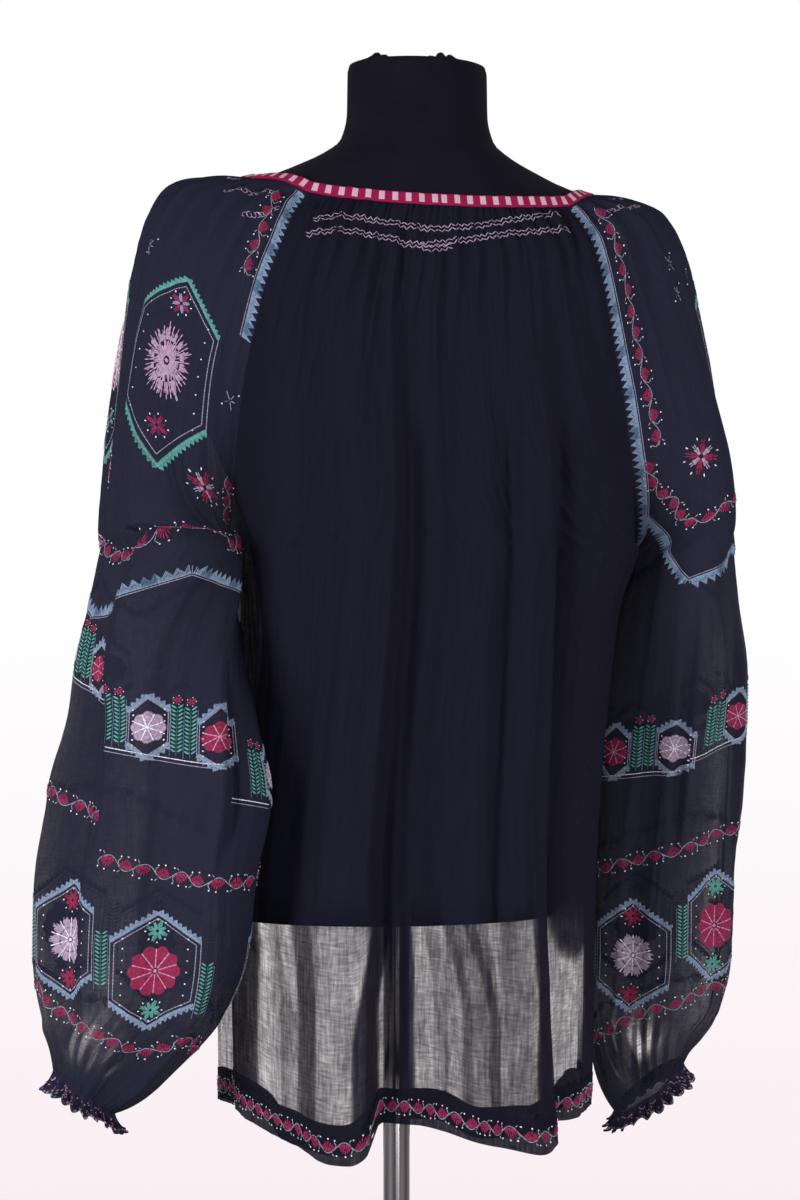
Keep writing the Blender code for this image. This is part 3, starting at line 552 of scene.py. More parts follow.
def sleeve_row(side, level, count):
    """One row of a sleeve, from its back seam round the outside to its front seam."""
    if level < 1:
        back, front = raglan(side, -1, level), raglan(side, 1, level)
        tx, ty, tz, near, far, _, turn = table_at(YOKE_SLEEVE, level)
        top, along = np.array([side * tx, ty, tz]), np.array([0, far, 0])
        out = heading(turn) * (side, 1, 1) * near
        first = climb(arc(back, back + out, top - along, top), back[2], tz, lambda t: 1 - (1 - t)**2)
        last = climb(arc(top, top + along, front + out * (1, -1, 1), front), tz, front[2], np.square)
        path = np.concatenate([first, last[1:]])
    else:
        rows = SLEEVE_RIGHT if side > 0 else SLEEVE_LEFT
        z = UNDERARM_Z + (rows[-1][0] - UNDERARM_Z) * (level - 1)
        cx, cy, half_long, half_deep, turn = table_at(rows, z)
        outward = heading(side * turn) * side
        deep = np.array([-outward[1], outward[0], 0]) * side
        centre = np.array([cx, cy, 0])
        inner, outer = centre - outward * half_long, centre + outward * half_long
        reach = deep * half_deep * 4 / 3
        path = np.concatenate([arc(inner, inner - reach, outer - reach, outer),
                               arc(outer, outer + reach, inner + reach, inner)[1:]])
        path[:, 2] = z + WRIST_SLOPE * side * (path[:, 0] - cx) * ease((level - 1.8) / 0.2)**2
    return even(path, count)


def unit(vectors):
    """The vectors at length 1."""
    return vectors / np.maximum(np.linalg.norm(vectors, axis=-1), 1e-12)[..., None]


def normals_of(grid, ring_from=None):
    """Normals of a grid of points, whose rows are closed rings from one of them on."""
    across = np.gradient(grid, axis=1)
    if ring_from is not None:
        across[ring_from:, 0] = across[ring_from:, -1] = (grid[ring_from:, 1] - grid[ring_from:, -2]) / 2
    return unit(np.cross(across, np.gradient(grid, axis=0)))


def ripple(across, down, seed):
    """Smooth uneven values from 0 to 1 over a sheet, one change for each unit each way."""
    lattice = np.random.default_rng(seed).random((97, 89))
    i, j = np.floor(across).astype(int), np.floor(down).astype(int)
    u, v = ease(across - i), ease(down - j)

    def corner(a, b):
        return lattice[(i + a) % 97, (j + b) % 89]
    return ((corner(0, 0) * (1 - u) + corner(1, 0) * u) * (1 - v)
            + (corner(0, 1) * (1 - u) + corner(1, 1) * u) * v)


def creases(across, down, seed):
    """Narrow ridges that wander down a sheet, 0 between them and 1 on top."""
    return 1 - np.abs(2 * ripple(across, down, seed) - 1)


def fold_heights(folds, keys, share):
    """Heights of a fold table across a sheet; share blends its first and last columns."""
    table = np.asarray(folds, float)
    if table.shape[1] == 4:
        at = table[:, 0] + (table[:, 1] - table[:, 0]) * share[:, None]
        out = table[:, 2] + (table[:, 3] - table[:, 2]) * share[:, None]
    else:
        at = np.repeat(table[None, :, 0], len(share), axis=0)
        out = table[:, 1] + (table[:, 2] - table[:, 1]) * share[:, None]
    heights = np.empty(keys.shape)
    for r in range(len(share)):
        i = np.clip(np.searchsorted(at[r], keys[r]) - 1, 0, len(table) - 2)
        t = (keys[r] - at[r, i]) / (at[r, i + 1] - at[r, i])
        heights[r] = out[r, i] + (out[r, i + 1] - out[r, i]) * ease(t)
    return heights


def drape(key, levels, grid):
    """Gathers, main folds and creases of one panel, as heights above its plain surface."""
    rng = np.random.default_rng(GATHER_SEED[key])
    s = np.linspace(0, 1, grid.shape[1])[None, :]
    level = levels[:, None]
    side, count = SIDE[key], GATHERS[key]
    body = key in ("back", "front")
    edge = ease(np.minimum(s, 1 - s) / 0.05)

    # Gathers stand where the solid has them, but each has its own height and its own length.
    phase = s * count + 0.12 * np.sin(9.0 * s + 1.3 * side) + 0.10 * (ripple(s * 30, level * 3, 40) - 0.5)
    index = np.clip(np.floor(phase).astype(int), 0, count)
    tall = rng.uniform(0.45, 1.50, count + 1)[index]
    run = rng.uniform(0.70, 1.9, count + 1)[index]
    height = table_at(GATHER_HEIGHT, np.clip(level / run, 0, 2))[..., 0]
    lift = height * tall * (0.5 - 0.5 * np.cos(math.tau * phase)) ** 1.2 * edge
    tight = 1 - ease((level - 0.02) / 0.22)
    turns = 2.4 * phase + 0.8 * ripple(s * 25, level * 6, 41)
    lift += TIGHT_GATHER * tight * edge * np.sin(math.tau * turns)
    long_run = ease((level - 0.08) / 0.15) * (1 - ease((level - 0.35) / 0.6))
    lift += LONG_GATHER * long_run * edge * creases(s * 1.7 * count, level * 1.1, 42 + side) ** 3

    if body:
        share = np.clip(levels - 0.5, 0, None) / 1.5
        fold = fold_heights(FOLDS[key], grid[..., 0], share) * ease((level - 0.12) / 0.4)
        fold = fold * ease(np.minimum(s, 1 - s) / 0.08)
        low = ease((level - 0.55) / 0.9)
        wide, fine = 17, 46
        broad = ripple(s * 9 + 0.8 * ripple(s * 2, level, 45), level * 0.8, 46 + side)
        lift += BROAD_FOLD * ease((level - 0.22) / 0.4) * edge * (broad - 0.5)
    else:
        share = ease((levels - 0.25) / 1.75)
        fold = fold_heights(FOLDS[key], np.repeat(s, len(levels), axis=0), share)
        fold = fold * ease((level - 0.25) / 0.5) * (0.25 + 0.75 * (1 - ease((level - 1.78) / 0.2)))
        low = ease((level - 0.35) / 0.9) * (1 - 0.6 * ease((level - 1.8) / 0.2))
        wide, fine = 15, 44
        drawn = ease((level - 1.66) / 0.24) * (1 - 0.85 * ease((level - 1.93) / 0.07))
        lift += DRAWN_CREASE * drawn * edge * (creases(s * 22, level * 1.2, 47 + side) ** 2 - 0.3)
    across, edge_wide = (grid[..., 0], 0.006) if body else (s, 0.012)
    for first, last, level_from, level_to, high in LAPS.get(key, ()):
        width = ease((across - first) / edge_wide + 0.5) * ease((last - across) / edge_wide + 0.5)
        run = ease((level - level_from) / 0.18) * ease((level_to - level) / 0.18)
        beside = (across - last, first - across)
        groove = sum(np.exp(-((off - 0.8 * edge_wide) / (0.7 * edge_wide))**2) for off in beside)
        lift += run * (high * width - 0.45 * high * groove)
    lift += fold
    drift = 1.6 * ripple(s * 5, level * 1.6, 50 + side)
    lift += edge * low * WIDE_CREASE * (creases(s * wide + drift, level * 1.3, 51 + side) ** 1.6 - 0.35)
    narrow = creases(s * fine + 2 * drift, level * 3.2, 52 + side) ** 2
    lift += edge * (0.25 + 0.75 * low) * NARROW_CREASE * (narrow - 0.3)
    lift += edge * CRINKLE * (creases(s * 95 + 3 * drift, level * 7.0, 53 + side) ** 2 - 0.3)
    return lift


def off_form(grid, air):
    """Pushes points of a sheet out to stand clear of the form."""
    flat = grid.reshape(-1, 3)
    for k, point in enumerate(flat):
        hit, normal, _, far = form_tree.find_nearest(Vector(point), 0.05)
        if hit is not None:
            signed = far if (Vector(point) - hit).dot(normal) > 0 else -far
            if signed < air:
                flat[k] += np.array(normal) * (air - signed)
    return flat.reshape(grid.shape)


panels = {}
for key, side in SIDE.items():
    body = key in ("back", "front")
    levels = np.concatenate([np.linspace(0, 1, YOKE_ROWS + 1),
                             np.linspace(1, 2, LOWER_ROWS[key] + 1)[1:]])
    row = body_row if body else sleeve_row
    grid = np.array([row(side, level, COLUMNS[key]) for level in levels])
    normals = normals_of(grid, None if body else YOKE_ROWS) * (side if body else -side)
    panels[key] = {"levels": levels, "plain": grid, "normals": normals}

SEAMS = (
    # panel of the body and its column, sleeve and its column
    ("back", 0, "left", 0), ("back", -1, "right", 0), ("front", 0, "left", -1), ("front", -1, "right", -1),
)


def join_seams(field, mean):
    """Gives the two panels that meet in a raglan seam one set of normals or places along it."""
    for body, at_body, sleeve, at_sleeve in SEAMS:
        first = panels[body][field][:YOKE_ROWS, at_body]
        second = panels[sleeve][field][:YOKE_ROWS, at_sleeve]
        first[:] = second[:] = mean(first + second)


join_seams("normals", unit)
for key, panel in panels.items():
    lift = drape(key, panel["levels"], panel["plain"])
    grid = panel["plain"] + panel["normals"] * (lift - CLOTH / 2)[..., None]
    panel["grid"] = off_form(lean(grid), AIR)
join_seams("grid", lambda total: total / 2)
for key in ("left", "right"):
    seam = panels[key]["grid"][YOKE_ROWS:]
    seam[:, 0] = seam[:, -1] = (seam[:, 0] + seam[:, -1]) / 2

# Where cloth is gathered, turned on edge or folded over itself, more of its layers lie in the way of
# light. The gathers run out toward the hem, where two layers let the background through.
LAYERS_BODY = {
    # height, layers
    "back": ((0.700, 1.0), (0.716, 3.0), (0.735, 8.0)),
    "front": ((0.680, 1.0), (0.696, 3.0), (0.715, 8.0)),
}
# Painted light: to the left of this x the cloth is made half as dense, to lighten a strip in the left
# sleeve's shade.
PAINTED_LIGHT_X = -0.110        # there are half as many layers to the left of this
LAYERS_SLEEVE = (
    # level, layers
    (0.0, 2.4), (0.6, 1.9), (1.0, 1.8), (1.5, 1.6), (1.75, 1.3), (1.85, 1.2), (1.93, 1.5), (2.0, 2.0),
)
# The outer side of a sleeve, where its cloth lies flattest: share of the way round, half width.
SHEER = {"left": ((0.45, 0.07), (0.66, 0.08)), "right": ((0.36, 0.08), (0.58, 0.08))}
DARK_FOLDS = {
    # x at the hem, half width, further layers, how far its upper end leans
    "back": ((-0.1347, 0.0125, 6.0, 0.0), (-0.089, 0.0080, 3.0, 0.006), (-0.050, 0.0075, 6.0, -0.018),
             (-0.0215, 0.0075, 6.0, 0.0), (0.040, 0.016, 1.7, 0.016), (0.050, 0.0045, 2.2, 0.024),
             (0.028, 0.0035, 1.4, 0.016), (0.083, 0.0065, 6.0, 0.0), (0.146, 0.013, 6.0, 0.0)),
    "front": ((-0.120, 0.012, 1.0, 0.0), (-0.060, 0.006, 1.0, 0.02), (0.005, 0.009, 0.7, -0.02),
              (0.070, 0.006, 1.0, 0.01), (0.130, 0.012, 1.0, 0.0)),
}
# Low on the right of the back the cloth is made denser over a rounded patch: x and z of its centre, half
# sizes.
DENSER_PATCH = (0.123, 0.708, 0.022, 0.037)
# Above each wrist the gathers part in thin streaks: their middle and half width along SIDEWAYS, how sheer.
SIDEWAYS = (0.978, -0.208, 0)
STREAKS = {"left": (-0.243, 0.026, 0.62), "right": (0.208, 0.024, 0.88)}
for key, panel in panels.items():
    body = key in ("back", "front")
    plain, grid = panel["plain"], panel["grid"]
    down, s = panel["levels"][:, None], np.linspace(0, 1, grid.shape[1])[None, :]
    skin = normals_of(grid, None if body else YOKE_ROWS)
    skin = skin * np.sign((skin * panel["normals"]).sum(axis=2))[..., None]
    upright = unit(lean(plain + panel["normals"] * 0.01) - lean(plain))
    bunched = 1 / np.clip((skin * upright).sum(axis=2), 0.3, 1)
    if body:
        heights, layers = zip(*LAYERS_BODY[key])
        fullness = np.interp(grid[..., 2], heights, layers)
        # Painted light: half as dense toward the left side, to lighten the strip in the left sleeve's shade.
        fullness = fullness * (1 - 0.5 * ease((PAINTED_LIGHT_X - grid[..., 0]) / 0.02))
    else:
        fullness = table_at(LAYERS_SLEEVE, panel["levels"])
    bunched = bunched * fullness
    for share, half in SHEER.get(key, ()):
        flat_part = np.exp(-((s - share) / half) ** 2) * ease((down - 0.9) / 0.3)
        bunched = bunched * (1 - 0.45 * flat_part)
    crushed = creases(s * 58 + 2.0 * ripple(s * 6, down * 7, 62), down * 11, 63 + SIDE[key]) ** 4
    bunched = bunched + (0.9 if body else 0.25) * crushed * ease((down - 1.3) / 0.3)
    for x, half, layers, leaning in DARK_FOLDS.get(key, ()):
        waver = 0.006 * (ripple(down * 9 + 40 * half, down * 0, 61) - 0.5)
        off = (plain[..., 0] - x + (waver + leaning * ease((1.82 - down) / 0.26))) / half
        bunched = bunched + layers * np.exp(-off ** 12) * ease((down - 1.2) / 0.3)
    if key == "back":
        # A rounded patch of the back is made denser.
        x, z, wide, high = DENSER_PATCH
        off = ((grid[..., 0] - x) / wide) ** 2 + ((grid[..., 2] - z) / high) ** 2
        bunched = bunched + 7 * np.exp(-off ** 5)
    if key in STREAKS:
        middle, half, sheer = STREAKS[key]
        parted = np.exp(-((grid @ SIDEWAYS - middle) / half) ** 4) * ease((down - 1.84) / 0.05)
        parted = parted * (1 - ease((down - 1.955) / 0.03))
        thin = ripple(s * 70 + 3 * ripple(s * 9, down * 12, 65), down * 9, 66 + SIDE[key])
        bunched = bunched * (1 - sheer * parted * ease((thin - 0.42) / 0.2))
    panel["skin"], panel["bunched"] = skin, bunched


def sheet(grid, outward, ring_from=None, bunched=None):
    """A grid of points as a bmesh sheet, with U across and V down in metres."""
    shape = bmesh.new()
    rows, columns = grid.shape[:2]
    uv = shape.loops.layers.uv.new("UVMap")
    bmesh.ops.create_grid(shape, x_segments=columns - 1, y_segments=rows - 1, size=0.5)
    shape.verts.ensure_lookup_table()
    shape.faces.ensure_lookup_table()
    across = np.linalg.norm(np.diff(grid, axis=1), axis=2).mean(axis=0)
    down = np.linalg.norm(np.diff(grid, axis=0), axis=2).mean(axis=1)
    across, down = (np.concatenate([[0], np.cumsum(step)]) for step in (across, down))
    places = {v.index: (int(round((0.5 - v.co.y) * (rows - 1))), int(round((v.co.x + 0.5) * (columns - 1))))
              for v in shape.verts}
    for face in shape.faces:
        for loop in face.loops:
            r, c = places[loop.vert.index]
            loop[uv].uv = (across[c], -down[r])
    if bunched is not None:
        bunched = np.broadcast_to(bunched, (rows, columns))
        dense = shape.verts.layers.float.new("bunched")
        for v in shape.verts:
            v[dense] = bunched[places[v.index]]
    for v in shape.verts:
        v.co = grid[places[v.index]]
    face = shape.faces[len(shape.faces) // 2]
    face.normal_update()
    if face.normal.dot(Vector(outward[places[face.verts[0].index]])) < 0:
        bmesh.ops.reverse_faces(shape, faces=shape.faces)
    if ring_from is not None:
        rim = [v for v in shape.verts
               if places[v.index][0] >= ring_from and places[v.index][1] in (0, columns - 1)]
        bmesh.ops.remove_doubles(shape, verts=rim, dist=1e-6)
    return shape


def voile(name, cover, tint):
    """Thin plain-woven cotton: light passes between the threads, less where it is bunched."""
    cloth = Finish(name, Roughness=0.92, Specular_IOR_Level=0.02)
    flat = cloth.add("ShaderNodeUVMap", {"uv_map": "UVMap"}, {}, "UV")
    warp = cloth.noise(cloth.stretched(flat, (560, 60, 1)), 1.0, 2.0)
    weft = cloth.noise(cloth.stretched(flat, (80, 520, 1)), 1.0, 2.0)
    slub = cloth.noise(cloth.stretched(flat, (420, 26, 1)), 1.0, 3.0)
    crinkle = cloth.noise(cloth.stretched(flat, (260, 70, 1)), 1.0, 4.0, 0.6)
    threads = (warp + weft) * 0.5
    dense = cloth.add("ShaderNodeAttribute", {"attribute_name": "bunched"}, {}, "Fac")
    gap = (1 - cover) * (1.25 - 0.5 * slub)
    open_share = gap.maths("POWER", gap, dense)
    cloth.feed("Alpha", 1 - open_share * ((threads - 0.5) * 2.6 + 1.0))
    dark, light = (tuple(t * k for t in tint) for k in (0.70, 1.30))
    cloth.feed("Base Color", cloth.mixed(slub * 0.5 + threads * 0.5, dark, light))
    cloth.raised(threads * 0.4 + crinkle, 0.55, 0.0008)
    return cloth


body_voile = voile("navy_voile_body", 0.38, (0.0030, 0.0029, 0.0063))
sleeve_voile = voile("navy_voile_sleeve", 0.82, (0.0054, 0.0056, 0.0112))
HEM_ROWS = {"back": 5, "front": 3}              # rows of a panel that its hem band covers
PANEL_NAMES = {"back": "back_panel", "front": "front_panel", "left": "sleeve_left", "right": "sleeve_right"}
for key, panel in panels.items():
    name = PANEL_NAMES[key]
    ring = YOKE_ROWS if key in ("left", "right") else None
    last = None if ring else -HEM_ROWS[key]
    finish = body_voile if key in ("back", "front") else sleeve_voile
    shape = sheet(panel["grid"][:last], panel["skin"][:last], ring, panel["bunched"][:last])
    piece(name + "_cloth", shape, finish, name)


# Hem bands. The lower edge of back and front is turned up and stitched, so it is a closed flat
# fold of the same voile, 27 mm deep, twice as dark as the panel above it.
HEM_BAND = 0.027
HEM_THICK = 0.0012
HEM_LAYERS = 4.0
for key in ("back", "front"):
    grid, skin = panels[key]["grid"][::-1], panels[key]["skin"][::-1]
    far = np.cumsum(np.linalg.norm(np.diff(grid, axis=0), axis=2), axis=0)
    columns = np.arange(grid.shape[1])
    band, out = [], []
    for share in np.linspace(0, 1, 9):
        want = HEM_BAND * (1 - share)
        i = np.clip((far < want).sum(axis=0), 0, len(far) - 1)
        before = np.where(i > 0, far[i - 1, columns], 0.0)
        t = ((want - before) / np.maximum(far[i, columns] - before, 1e-9))[:, None]
        low, high = grid[i, columns], grid[i + 1, columns]
        band.append(low + (high - low) * t)
        out.append(skin[i, columns])
    band, out = np.array(band), np.array(out)
    outer = band + out * HEM_THICK * 0.5
    crown = band[-1:] + (band[-1:] - band[-2:-1]) * 0.12
    turned = np.concatenate([outer, crown, band[::-1] - out[::-1] * HEM_THICK * 0.5])
    shape = sheet(turned, np.concatenate([out, out[-1:], -out[::-1]]), None, HEM_LAYERS)
    hem = piece("hem_fold_" + key, shape, body_voile, "hem_band_" + key)
    panels[key]["hem"], panels[key]["hem_skin"] = outer, out


# Cuffs. The wrist of each sleeve is gathered on a thread and ends in a ruffle, overlocked along
# its edge in lilac and pink so that it waves like a lettuce leaf.
RUFFLE_COLUMNS = 640
RUFFLE_DEEP = 0.015
RUFFLE_WAVES = 20
RUFFLE_SWING = 0.0035
RUFFLE_FLARE = 0.006
RUFFLE_WAIST = 0.002
RUFFLE_LAYERS = 3.0
edging = voile("ruffled_edging", 0.90, (0.0060, 0.0055, 0.0120))
for key in ("left", "right"):
    ring = even(panels[key]["grid"][-1], RUFFLE_COLUMNS)
    away = ring - ring[:-1].mean(axis=0)
    away[:, 2] = 0
    away = unit(away)
    s = np.linspace(0, 1, RUFFLE_COLUMNS + 1)
    uneven = 1 + 0.35 * (ripple(s * RUFFLE_WAVES, s * 0, 71) - 0.5)
    uneven[-1] = uneven[0]
    wave = np.cos(math.tau * RUFFLE_WAVES * s)
    curl = np.cos(math.tau * RUFFLE_WAVES * 2.5 * s + 1.0)
    dip = np.cos(math.tau * RUFFLE_WAVES * s + 1.2)
    ruffle = []
    for share in np.linspace(0, 1, 12):
        spread = share * (RUFFLE_SWING * 1.25 * wave * uneven + RUFFLE_FLARE) + 0.0007 * share**2 * curl
        row = ring + away * (spread - RUFFLE_WAIST * math.sin(math.pi * share))[:, None]
        row[:, 2] += 0.001 - (RUFFLE_DEEP + 0.001) * share - 0.0016 * share * dip
        ruffle.append(row)
    ruffle = np.array(ruffle)
    outward = np.repeat(away[None], len(ruffle), axis=0)
    shape = sheet(ruffle, outward, 0, RUFFLE_LAYERS)
    cuff = piece("cuff_ruffle_" + key, shape, edging, "cuff_" + key)
    skin = normals_of(ruffle, 0)
    skin = skin * np.sign((skin * outward).sum(axis=2))[..., None]
    panels[key]["ruffle"], panels[key]["ruffle_skin"] = ruffle, skin


# Neck tape. A narrow woven tape in crimson and pale pink checks between fine crimson edge lines
# binds the gathered neckline, its ends meeting at the centre back.
TAPE_DEEP = 0.0086
TAPE_THICK = 0.0020
CHECK = 0.0108          # one crimson and one pink check together
tape_look = Finish("checked_tape", Roughness=0.9, Specular_IOR_Level=0.04)
flat = tape_look.add("ShaderNodeUVMap", {"uv_map": "UVMap"}, {}, "UV")
along_tape, down_tape = (tape_look.add("ShaderNodeSeparateXYZ", {}, {0: flat}, axis) for axis in "XY")
pair = along_tape.maths("FRACT", along_tape * (1 / CHECK))
depth = down_tape * (-1 / TAPE_DEEP)
middle = depth.maths("ABSOLUTE", depth - 0.5)
ribs = tape_look.noise(tape_look.stretched(flat, (2400, 500, 1)), 1.0, 2.0)
pink = tape_look.mixed(ribs, (0.150, 0.085, 0.110), (0.230, 0.165, 0.190))
crimson = tape_look.mixed(ribs, (0.070, 0.0015, 0.014), (0.110, 0.0030, 0.026))
checked = tape_look.mixed(pair > 0.43, pink, crimson)
tape_look.feed("Base Color", tape_look.mixed(middle > 0.44, checked, crimson))
tape_look.raised(ribs, 0.5, 0.0004)

neckline = np.concatenate([panels["back"]["grid"][0][:-1], panels["right"]["grid"][0][:-1],
                           panels["front"]["grid"][0][::-1][:-1], panels["left"]["grid"][0][::-1]])
TAPE_COLUMNS = 560
for _ in range(30):
    ring = neckline[:-1]
    neckline = (ring * 2 + np.roll(ring, 1, axis=0) + np.roll(ring, -1, axis=0)) / 4
    neckline = np.concatenate([neckline, neckline[:1]])
neckline = even(neckline, TAPE_COLUMNS)
start = int(np.argmin(np.linalg.norm(neckline[:-1] - (0.019, -0.087, 1.275), axis=1)))
neckline = np.concatenate([np.roll(neckline[:-1], -start, axis=0), neckline[start:start + 1]])
along = np.roll(neckline[:-1], -1, axis=0) - np.roll(neckline[:-1], 1, axis=0)
facing = np.array([form_tree.find_nearest(Vector(p))[1] for p in neckline[:-1]])
for _ in range(60):
    facing = unit(facing + np.roll(facing, 1, axis=0) + np.roll(facing, -1, axis=0))
up = np.cross(along, facing)
up = unit(up * np.sign(up[:, 2:]))
up, facing = (np.concatenate([v, v[:1]]) for v in (up, facing))
lifts = -0.0004 + (TAPE_DEEP + 0.0012) * np.linspace(1, 0, 7)
inner = off_form(np.array([neckline + up * lift for lift in lifts]), 0.0006)
outer = inner + facing[None] * TAPE_THICK
crown = (inner[:1] + outer[:1]) / 2 + up[None] * 0.0003
wall = np.repeat(facing[None], len(outer), axis=0)
tape_shape = sheet(np.concatenate([outer, inner[::-1], crown, outer[:1]]),
                   np.concatenate([wall, wall, up[None], up[None]]), 0)
bmesh.ops.remove_doubles(tape_shape, verts=tape_shape.verts, dist=1e-6)
tape = piece("neck_tape", tape_shape, tape_look, "neck_binding")


# Embroidery. Cotton floss in crimson, lilac, pale blue and green, worked by hand on the panels
# before they were gathered. Every stitch is a small raised strand that follows the cloth.
CRIMSON, PLUM, PINK = (0.112, 0.0012, 0.021), (0.030, 0.003, 0.028), (0.220, 0.110, 0.165)
LILAC, GREY_LILAC, WHITE = (0.158, 0.112, 0.164), (0.112, 0.104, 0.140), (0.330, 0.320, 0.350)
PALE_BLUE, STEEL = (0.080, 0.114, 0.170), (0.034, 0.060, 0.098)
TEAL, GREEN = (0.032, 0.124, 0.105), (0.010, 0.048, 0.042)
INK = (0.007, 0.007, 0.016)
STRAND = 0.0010         # width of a stitch
STRAND_LONG = 0.0045    # longer stitches are held down in the middle
LIFT = 0.00035          # how far a strand stands above the cloth
LINE_STEP = 0.0024      # from one stitch of a plain line to the next
SATIN_STEP = 0.0008     # and of a filled edge
VINE_STEP = 0.0019
BUD_LONG = 0.0082
LEAF_STEP = 0.0030
LEAF_WIDE = 0.0040
SMOCK_STEP = 0.0028
SMOCK_HIGH = 0.0013

strand_shape = bmesh.new()
bmesh.ops.create_cone(strand_shape, segments=6, radius1=1, radius2=0, depth=1, cap_ends=False)
strand_shape.verts.ensure_lookup_table()
STRAND_POINTS = np.array([v.co for v in strand_shape.verts]) + (0, 0, 0.5)
STRAND_FACES = np.array([[v.index for v in face.verts] for face in strand_shape.faces])
strand_shape.free()
dice = np.random.default_rng(29)

floss = Finish("embroidery_floss", Roughness=0.7, Specular_IOR_Level=0.06)
dyed = floss.add("ShaderNodeAttribute", {"attribute_name": "thread"}, {}, "Color")
ply = floss.noise(floss.add("ShaderNodeTexCoord", {}, {}, "Object"), 1400.0, 2.0)
floss.feed("Base Color", floss.mixed(ply * 0.45, dyed, (0.02, 0.02, 0.03)))
floss.raised(ply, 0.5, 0.0003)


def rows_of(*values):
    """Values side by side, one row for each place or stitch, with single ones repeated."""
    return np.column_stack(np.broadcast_arrays(*values))


def rays(angle, start, end, tall=1.0):
    """Stitches outward from a place, at an array of angles."""
    x, y = np.cos(angle), np.sin(angle)
    return rows_of(start * x, start * y * tall, end * x, end * y * tall)


def saw(turns):
    """A zigzag from 0 up to 1 and back for every turn."""
    return 1 - np.abs(2 * (turns % 1) - 1)


